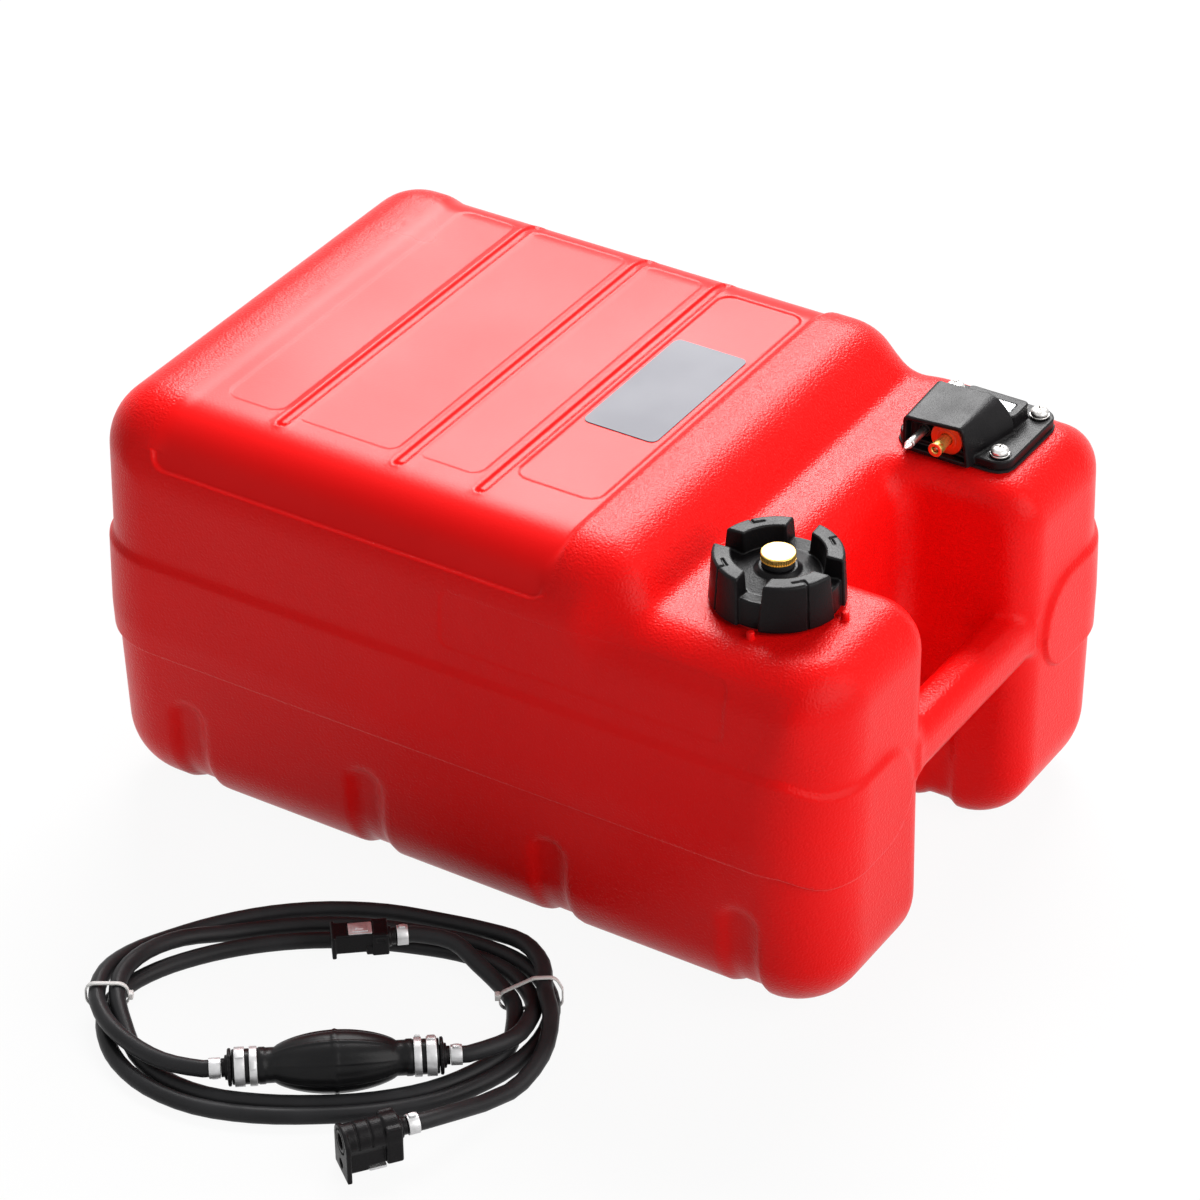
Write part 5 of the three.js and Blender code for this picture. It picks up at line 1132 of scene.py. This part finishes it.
def heading(turn):
    """Level direction at a turn from the coil's long axis."""
    angle = math.radians(COIL_TURN + turn)
    return np.array((math.cos(angle), math.sin(angle), 0.0))


def coil_point(angle, offset, z):
    """A place on the coil's oval, or outside it by an offset."""
    turn = math.radians(angle)
    return coil_world((COIL_LONG + offset) * math.cos(turn), (COIL_SHORT + offset) * math.sin(turn), z)


def between(stations, angle, column):
    """Smooth value between stations, with the slope of their neighbours."""
    i = 0
    while i + 2 < len(stations) and angle < stations[i + 1][0]:
        i += 1

    def slope(k):
        if k in (0, len(stations) - 1):
            return 0
        before, after = stations[k - 1], stations[k + 1]
        return (after[column] - before[column]) / (after[0] - before[0])

    first, last = stations[i], stations[i + 1]
    span = last[0] - first[0]
    t = (angle - first[0]) / span
    return eased(first[column], slope(i) * span, last[column], slope(i + 1) * span, t)


def hose_line(stations, start, start_heading, end, end_heading, radius):
    """Corners of a hose's middle: straight out of its start, round the coil, straight into its end."""
    line = [start, start + start_heading * HOSE_LEAD]
    start_step = math.floor(stations[0][0] / COIL_STEP - 0.5)
    end_step = math.floor(stations[-1][0] / COIL_STEP + 0.5)
    for angle in range(start_step * COIL_STEP, end_step * COIL_STEP, -COIL_STEP):
        height = max(between(stations, angle, 2), radius)
        line.append(coil_point(angle, between(stations, angle, 1), height))
    line += [end - end_heading * HOSE_LEAD, end]
    return np.array(line)


def smooth_line(corners, parts=3):
    """A smooth curve through the corners, straight in its first and last stretch."""
    made = [corners[0]]
    for i in range(len(corners) - 1):
        if i in (0, len(corners) - 2):
            made.append(corners[i + 1])
            continue
        a, b, c, d = corners[i - 1], corners[i], corners[i + 1], corners[i + 2]
        span = np.linalg.norm(c - b)
        into = (c - a) / (np.linalg.norm(c - b) + np.linalg.norm(b - a)) * span
        away = (d - b) / (np.linalg.norm(d - c) + np.linalg.norm(c - b)) * span
        made += [eased(b, into, c, away, n / parts) for n in range(1, parts + 1)]
    return np.array(made)


def local(place_pqz, turn):
    """The frame of a piece on the coil, with X along it."""
    spot = coil_world(*place_pqz)
    return Matrix.Translation(spot.tolist()) @ about("Z", COIL_TURN + turn)


def hose_ends():
    """Where the two hoses start and end, with their headings."""
    bulb, along = coil_world(*BULB_PLACE), heading(BULB_HEADING)
    engine = coil_world(*ENGINE_PLACE) + heading(ENGINE_HEADING) * ENGINE_LENGTH
    tank = coil_world(*TANK_PLACE) + heading(TANK_HEADING) * TANK_LENGTH
    return (
        ("fuel_hose_engine", ENGINE_HOSE, engine, heading(ENGINE_HEADING), bulb + along * BULB_END, -along),
        ("fuel_hose_tank", TANK_HOSE, bulb - along * BULB_END, -along, tank, -heading(TANK_HEADING)),
    )


def line_length(points):
    """Length of a line of points."""
    return float(np.linalg.norm(np.diff(points, axis=0), axis=1).sum())


class FUELTANK_OT_hoses(bpy.types.Operator):
    """Lays both lengths of fuel hose in their coil"""
    bl_idname = "fuel_tank.hoses"
    bl_label = "Fuel Hoses"

    def execute(self, context):
        radius = context.scene.tank_sizes.hose_radius
        nodes = {"fuel_hose_engine": "hose_engine_side", "fuel_hose_tank": "hose_tank_side"}
        for name, stations, start, start_heading, end, end_heading in hose_ends():
            points = smooth_line(hose_line(stations, start, start_heading, end, end_heading, radius / MM))
            if name == "fuel_hose_engine":
                points = points[::-1]
            curve = bpy.data.curves.new(name, "CURVE")
            curve.dimensions = "3D"
            curve.bevel_depth = radius
            curve.bevel_resolution = 7
            curve.use_fill_caps = True
            curve.twist_mode = "Z_UP"
            spline = curve.splines.new("POLY")
            spline.points.add(len(points) - 1)
            for point, place in zip(spline.points, points):
                point.co = (*(place * MM), 1)
            spline.use_smooth = True
            hose = linked(name, curve)
            curve.materials.append(finish("hose"))
            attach(hose, "tank")
            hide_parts(nodes[name])
            hose["length_mm"] = line_length(points)
        return {"FINISHED"}


def bulb_swell(turns, station, radius):
    """Raised seams along the bulb."""
    seams = 8
    off = (turns * seams / (2 * math.pi)) % 1 - 0.5
    reach = np.abs(np.abs(off) - 0.5) * 2 * math.pi / seams * radius
    fade = np.clip(1.06 - (station / 30.5) ** 2, 0, 1)
    return fade * (0.55 * np.exp(-(reach / 0.55) ** 2) + 0.22 * np.cos(2 * math.pi * off) - 0.11)


def flange_ribs(turns, station, radius):
    """Fine ribs round the flange of a bulb fitting."""
    return np.where(radius > 8.5, 0.12 * np.cos(24 * turns) - 0.12, 0)


class FUELTANK_OT_bulb(bpy.types.Operator):
    """Moulds the primer bulb with its seams, fittings, bands and clamps"""
    bl_idname = "fuel_tank.bulb"
    bl_label = "Primer Bulb"

    def execute(self, context):
        place = local(BULB_PLACE, BULB_HEADING) @ UP_TO_X
        neck = [(5.6, 49.9), (8.3, 50), (8.7, 49.6), (8.7, 44), (8.7, 43), (8.7, 37.4), (9.1, 36.8),
                (9.1, 34.2), (8.7, 33.6)]
        profile = [(radius, -station) for radius, station in neck]
        for i in range(41):
            station = 29.4 * (i / 20 - 1)
            swell = max(0.0, 1 - (station / 29.4) ** 2) ** 0.8
            rib = 0.55 * math.exp(-(station / 1.05) ** 4)
            profile.append((8.7 + 6.6 * swell + rib, station))
        profile += neck[::-1]
        form = turned(profile, 128, swell=bulb_swell)
        piece("squeeze_bulb", form, "bulb", "tank", ("primer_bulb",), place @ about("Z", 11))
        for i, (name, side) in enumerate((("inlet", -1), ("outlet", 1))):
            end = place if side > 0 else place @ about("X", 180)
            self.fitting(name, end)
            self.band(f"strap_{i * 2 + 1}", end, 37.8, 3.7, f"bulb_band_{i * 2 + 1}", 40)
            self.band(f"strap_{i * 2 + 2}", end, 43.8, 5.0, f"bulb_band_{i * 2 + 2}", 75)
            clamp_piece(f"ear_clamp_{i + 1}", end @ raised(BULB_END), f"hose_clamp_{i + 1}", side < 0)
        return {"FINISHED"}

    def fitting(self, name, end):
        """Barbed fitting: only its flange and its stem show."""
        profile = softened([
            (5.2, 38, 0), (5.2, 50.3, 0.2), (8.9, 50.3, 0.3), (9.3, 50.7, 0.3), (9.3, 51.7, 0.4),
            (8.6, 52.1, 0.4), (6.2, 52.3, 0.4), (6.0, 53.4, 0.3), (4.6, 53.6, 0.3), (4.6, 55.2, 0.2),
            (2, 55.2, 0)])
        piece(f"{name}_barb", turned(profile, 96, swell=flange_ribs), "plastic", "tank",
              (f"bulb_{name}_fitting",), end, sharp=40)

    def band(self, name, end, start, width, node, turn):
        """Drawn steel band with the raised ear that closes it."""
        ring = ring_form(9.0, 9.7, start, start + width, 0.22, 96)
        ear = slab_form(rectangle(-2.1, 2.1, -width / 2 + 0.5, width / 2 - 0.5, 0.5), 9.4, 10.5, 0.3, 3)
        spot = about("Z", turn) @ raised(start + width / 2)
        ear = carried(spot @ about("X", 90) @ about("X", 180), ear)
        piece(name, joined(ring, ear), "zinc", "tank", (node,), end, sharp=40)


def clamp_piece(name, end, node, flip=False):
    """Crimped clamp: a strip round the hose with the folded ear that the pliers close."""
    ring = ring_form(4.35, 5.1, 0, 5.6, 0.2, 64)
    ear = slab_form(rectangle(-1.9, 1.9, -1.3, 1.3, 0.9), 4.8, 6.05, 0.35, 4)
    ear = carried(raised(2.8) @ about("Y", 90 if flip else -90), ear)
    piece(name, joined(ring, ear), "zinc", "tank", (node,), end, sharp=40)


def changed(points, solid, change, *tools):
    """A solid with tools joined or cut: a blend, then a block's corners or a bar along X, then its edge."""
    for blend, *sizes in tools:
        tool = box_field(points, *sizes) if len(sizes) == 3 else bar_field(points, 0, (0, 0), *sizes)
        solid = change(solid, tool, blend)
    return solid


def engine_field(points):
    """Engine connector: square plate, slim body with its latch pocket, stepped block and neck."""
    plate = box_field(points, (0, -7.5, -6.5), (2.2, 7.5, 6.5), 0.6)
    solid = changed(
        points, plate, round_or, (0.4, (0.4, -5.8, -4.6), (28, 5.8, 6.5), 0.6),
        (0.4, (20.2, -7.2, -6.3), (28.6, 7.2, 6.3), 0.7), (0.4, (17.2, -6.9, -5.6), (21, 6.9, -1.2), 0.6),
        (0.5, 4.4, 26, 32.6, 0.4), (0.4, 5.2, 26, 30.2, 0.4))
    return changed(
        points, solid, round_cut, (0.3, 3.9, -3, 8, 0.3), (0.2, 1.5, -3, 40, 0.1),
        (0.3, (8.3, -5.0, 2.6), (20.9, 5.0, 12), 0.3), (0.3, (22.5, -8.5, 1.5), (26.6, -6.6, 4.2), 0.3))


def tank_connector_field(points):
    """Tank connector: arched plate, barrel on a web, block and neck, with the socket and the pin hole."""
    x, y, z = points.T
    arch = np.hypot(np.maximum(np.abs(y) - 1, 0), np.maximum(z + 1.3, 0)) - 9
    plate = round_and(np.maximum(arch, -19.3 - z), np.abs(x - 1.2) - 1.2, 0.6)
    solid = changed(
        points, plate, round_or, (0.5, 7.8, 0.4, 28.4, 0.8), (0.5, (0.4, -6, -16.7), (20.4, 6, 0), 0.8),
        (0.5, (20.4, -8.5, -14.3), (28.8, 8.5, 6.7), 1.2), (0.5, 8.5, 20.4, 28.6, 1.0),
        (0.6, 4.4, 26, 32.8, 0.4), (0.5, 5.6, 27, 30.4, 0.5))
    solid = changed(points, solid, round_cut, (0.4, 4.0, -3, 14, 0.3), (0.2, 1.5, -3, 40, 0.1))
    solid = round_cut(solid, bar_field(points, 0, (0, -13.6), 2.55, -3, 9, 0.3), 0.4)
    solid = changed(points, solid, round_cut, (0.4, (12.1, -20, -25), (20.7, 20, -14.3), 0.3))
    rib = np.maximum(np.abs(np.abs(x - 10.5) - 3.4) - 0.45, 7.2 - np.hypot(y, z))
    solid = round_cut(solid, np.maximum(rib, -2 - z), 0.2)
    ring = np.maximum(np.abs(np.hypot(y, z) - 6.3) - 0.4, x - 0.7)
    return round_cut(solid, ring, 0.15)


class FUELTANK_OT_connectors(bpy.types.Operator):
    """Moulds both hose connectors and fits their latches and clamps"""
    bl_idname = "fuel_tank.connectors"
    bl_label = "Hose Connectors"

    def execute(self, context):
        place = local(ENGINE_PLACE, ENGINE_HEADING)
        low, high = (0, -8, -7), (33, 8, 7)
        fitting("engine_coupling", engine_field, low, high, "tank", "engine_connector_body", place)
        plate = slab_form(rectangle(8.6, 20.6, -4.7, 4.7, 0.8), 4.9, 6.5, 0.3, 4)
        frame_low = slab_form(rectangle(10.4, 18.6, -3.1, 3.1, 0.6), 6.3, 6.95, 0.25, 3)
        tab = slab_form(rectangle(12.2, 16.4, -1.5, 1.5, 0.5), 6.6, 7.2, 0.2, 3)
        piece("release_plate", joined(plate, frame_low, tab), "zinc", "engine_latch",
              ("engine_connector_latch",), place, sharp=40)
        clamp_piece("ear_clamp_3", place @ UP_TO_X @ raised(ENGINE_LENGTH), "hose_clamp_3")
        place = local(TANK_PLACE, TANK_HEADING)
        low, high = (0, -11, -19.4), (33, 11, 9)
        fitting("tank_coupling", tank_connector_field, low, high, "tank", "tank_connector_body", place)
        plate = slab_form(rectangle(12.4, 21.2, -5, 5, 0.8), -18.5, -16.9, 0.3, 4)
        piece("release_foot", plate, "zinc", "tank_latch", ("tank_connector_latch",), place, sharp=40)
        clamp_piece("ear_clamp_4", place @ UP_TO_X @ raised(TANK_LENGTH), "hose_clamp_4")
        return {"FINISHED"}


class FUELTANK_OT_ties(bpy.types.Operator):
    """Draws the two cable ties round the coil"""
    bl_idname = "fuel_tank.ties"
    bl_label = "Cable Ties"

    def execute(self, context):
        for name, turn, corners in TIES:
            loop = filleted(corners, 7)
            ahead = np.roll(loop, -1, axis=0) - np.roll(loop, 1, axis=0)
            ahead /= np.linalg.norm(ahead, axis=1)[:, None]
            out = np.column_stack((ahead[:, 1], -ahead[:, 0]))
            angle = math.radians(COIL_TURN + turn)
            axes = [np.array((math.cos(angle), math.sin(angle), 0)), np.array((0, 0, 1.0)),
                    np.array((math.sin(angle), -math.cos(angle), 0))]
            middle = coil_point(turn, 0, 0)
            line = [(middle + axes[0] * x + axes[1] * y, axes[2], axes[0] * a + axes[1] * b)
                    for (x, y), (a, b) in zip(loop, out)]
            section = ((-1.2, 0.1), (-1.05, 0), (1.05, 0), (1.2, 0.1), (1.2, 0.65), (0.9, 0.9), (-0.9, 0.9),
                       (-1.2, 0.65))
            strap = swept(line, section, True)
            head = slab_form(rectangle(-2.1, 2.1, -1.7, 1.7, 0.5), -0.1, 2.6, 0.4, 3)
            low = loop[np.argmin(loop[:, 0])]
            spot = Matrix((
                (*axes[2], 0), (*axes[1], 0), (*(-axes[0]), 0), (0, 0, 0, 1))).transposed()
            seat = middle + axes[0] * (low[0] - 0.2) + axes[1] * (low[1] * 0.5 + 5)
            spot.translation = Vector(seat.tolist())
            piece(name.replace("tie", "strap_tie"), joined(strap, carried(spot, head)), "white", "tank",
                  (name,), sharp=40, weld=True)
        return {"FINISHED"}


class FUELTANK_OT_cords(bpy.types.Operator):
    """Leaves the scene as it is."""
    bl_idname = "fuel_tank.cords"
    bl_label = "Fuel Line Facts"

    def execute(self, context):
        return {"FINISHED"}


PLAIN_PARTS = {
    "cap_gasket": "gasket", "meter_gasket": "gasket", "meter_window": "glass", "gauge_dial": "dial",
    "gauge_pointer": "seal", "float_arm": "steel", "float": "float", "pickup_tube": "plastic",
    "pickup_strainer": "white", "engine_latch_spring": "steel", "tank_latch_spring": "steel",
    "inlet_valve_disc": "gasket", "outlet_valve_disc": "gasket",
}


class FUELTANK_OT_plain(bpy.types.Operator):
    """Gives every part of the frame that still shows its own finish"""
    bl_idname = "fuel_tank.plain"
    bl_label = "Remaining Parts"

    def execute(self, context):
        for name, kind in PLAIN_PARTS.items():
            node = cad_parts[name]
            node.data.materials.clear()
            node.data.materials.append(finish(kind))
        return {"FINISHED"}


def shown_white(tree):
    """One for the rays that show the white surround: straight, mirrored or through glass."""
    path = put(tree, "LightPath")
    shown = path.outputs["Is Camera Ray"]
    for kind in ("Is Glossy Ray", "Is Transmission Ray"):
        shown = maths(tree, "MAXIMUM", shown, path.outputs[kind])
    return shown


class FUELTANK_OT_stage(bpy.types.Operator):
    """Sets the camera, the lamps, the pale floor and the white surround"""
    bl_idname = "fuel_tank.stage"
    bl_label = "Studio"

    def execute(self, context):
        scene = context.scene
        scene.view_settings.view_transform = "Standard"
        self.camera(scene)
        for lamp in LAMPS:
            self.lamp(*lamp)
        self.surround(scene)
        self.floor()
        return {"FINISHED"}

    def camera(self, scene):
        """The camera, turned by its heading and its small roll."""
        camera = linked("camera", bpy.data.cameras.new("camera"))
        forward = Vector(CAMERA_AHEAD).normalized()
        side = Vector((math.cos(CAMERA_AZIMUTH), math.sin(CAMERA_AZIMUTH), 0))
        right = side * math.cos(CAMERA_ROLL) + side.cross(forward) * math.sin(CAMERA_ROLL)
        turn = Matrix((right, right.cross(forward), -forward)).transposed()
        camera.matrix_world = Matrix.Translation(Vector(CAMERA_PLACE) * MM) @ turn.to_4x4()
        camera.data.lens, camera.data.sensor_width = CAMERA_LENS, CAMERA_SENSOR
        camera.data.sensor_fit = "HORIZONTAL"
        camera.data.clip_end = CAMERA_REACH
        scene.camera = camera

    def lamp(self, name, place, power, width, height, color):
        """A softbox turned towards the object."""
        data = bpy.data.lights.new(name, "AREA")
        data.shape, data.size, data.size_y, data.energy, data.color = "RECTANGLE", width, height, power, color
        lamp = linked(name, data)
        aim = Vector(LAMP_AIM) - Vector(place)
        lamp.matrix_world = Matrix.Translation(place) @ aim.to_track_quat("-Z", "Y").to_matrix().to_4x4()

    def surround(self, scene):
        """The world: dim to the object, white where it is seen."""
        world = bpy.data.worlds.new("surround")
        world.use_nodes = True
        scene.world = world
        tree = world.node_tree
        back = tree.nodes["Background"]
        level = ranged(tree, shown_white(tree), WORLD_LEVEL, 1.0)
        back.inputs["Color"].default_value = (1, 1, 1, 1)
        tree.links.new(level, back.inputs["Strength"])

    def floor(self):
        """The pale floor, which keeps the object's shadow."""
        mesh = bpy.data.meshes.new("floor")
        corners = [(x * FLOOR_REACH, y * FLOOR_REACH, 0) for x, y in ((-1, -1), (1, -1), (1, 1), (-1, 1))]
        mesh.from_pydata(corners, [], [(0, 1, 2, 3)])
        floor = linked("floor", mesh)
        made, tree, shader = material(
            "Pale Floor", 0.7, Base_Color=(FLOOR_GREY, FLOOR_GREY, FLOOR_GREY, 1), Specular_IOR_Level=0.1)
        glow = put(tree, "Emission", {"Color": (1, 1, 1, 1), "Strength": 1.0})
        share = maths(tree, "MULTIPLY", shown_white(tree), FLOOR_GLOW)
        mix = put(tree, "MixShader", {0: share, 1: shader.outputs[0], 2: glow.outputs[0]})
        tree.links.new(mix.outputs[0], tree.nodes["Material Output"].inputs["Surface"])
        mesh.materials.append(made)


OPERATORS = (
    FUELTANK_OT_stage, FUELTANK_OT_hoses, FUELTANK_OT_bulb, FUELTANK_OT_connectors, FUELTANK_OT_ties,
    FUELTANK_OT_cords, FUELTANK_OT_shell, FUELTANK_OT_cap, FUELTANK_OT_meter, FUELTANK_OT_plain,
)


class FUELTANK_PT_sidebar(bpy.types.Panel):
    """Lists the finishes, the sizes and the pieces"""
    bl_idname = "FUELTANK_PT_sidebar"
    bl_label = "Fuel Tank"
    bl_space_type = "VIEW_3D"
    bl_region_type = "UI"
    bl_category = "Fuel Tank"

    def draw(self, context):
        for group_of in (context.scene.tank_finish, context.scene.tank_sizes):
            for name in group_of.bl_rna.properties.keys():
                if name not in ("rna_type", "name"):
                    self.layout.prop(group_of, name)
        for kind in OPERATORS:
            self.layout.operator(kind.bl_idname)


CLASSES = (TankFinish, TankSizes, *OPERATORS, FUELTANK_PT_sidebar)


def register():
    for kind in CLASSES:
        bpy.utils.register_class(kind)
    bpy.types.Scene.tank_finish = bpy.props.PointerProperty(type=TankFinish)
    bpy.types.Scene.tank_sizes = bpy.props.PointerProperty(type=TankSizes)


def unregister():
    del bpy.types.Scene.tank_finish
    del bpy.types.Scene.tank_sizes
    for kind in reversed(CLASSES):
        bpy.utils.unregister_class(kind)


def main():
    """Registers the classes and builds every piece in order."""
    register()
    for kind in OPERATORS:
        area, name = kind.bl_idname.split(".")
        getattr(getattr(bpy.ops, area), name)()


if __name__ == "__main__":
    main()
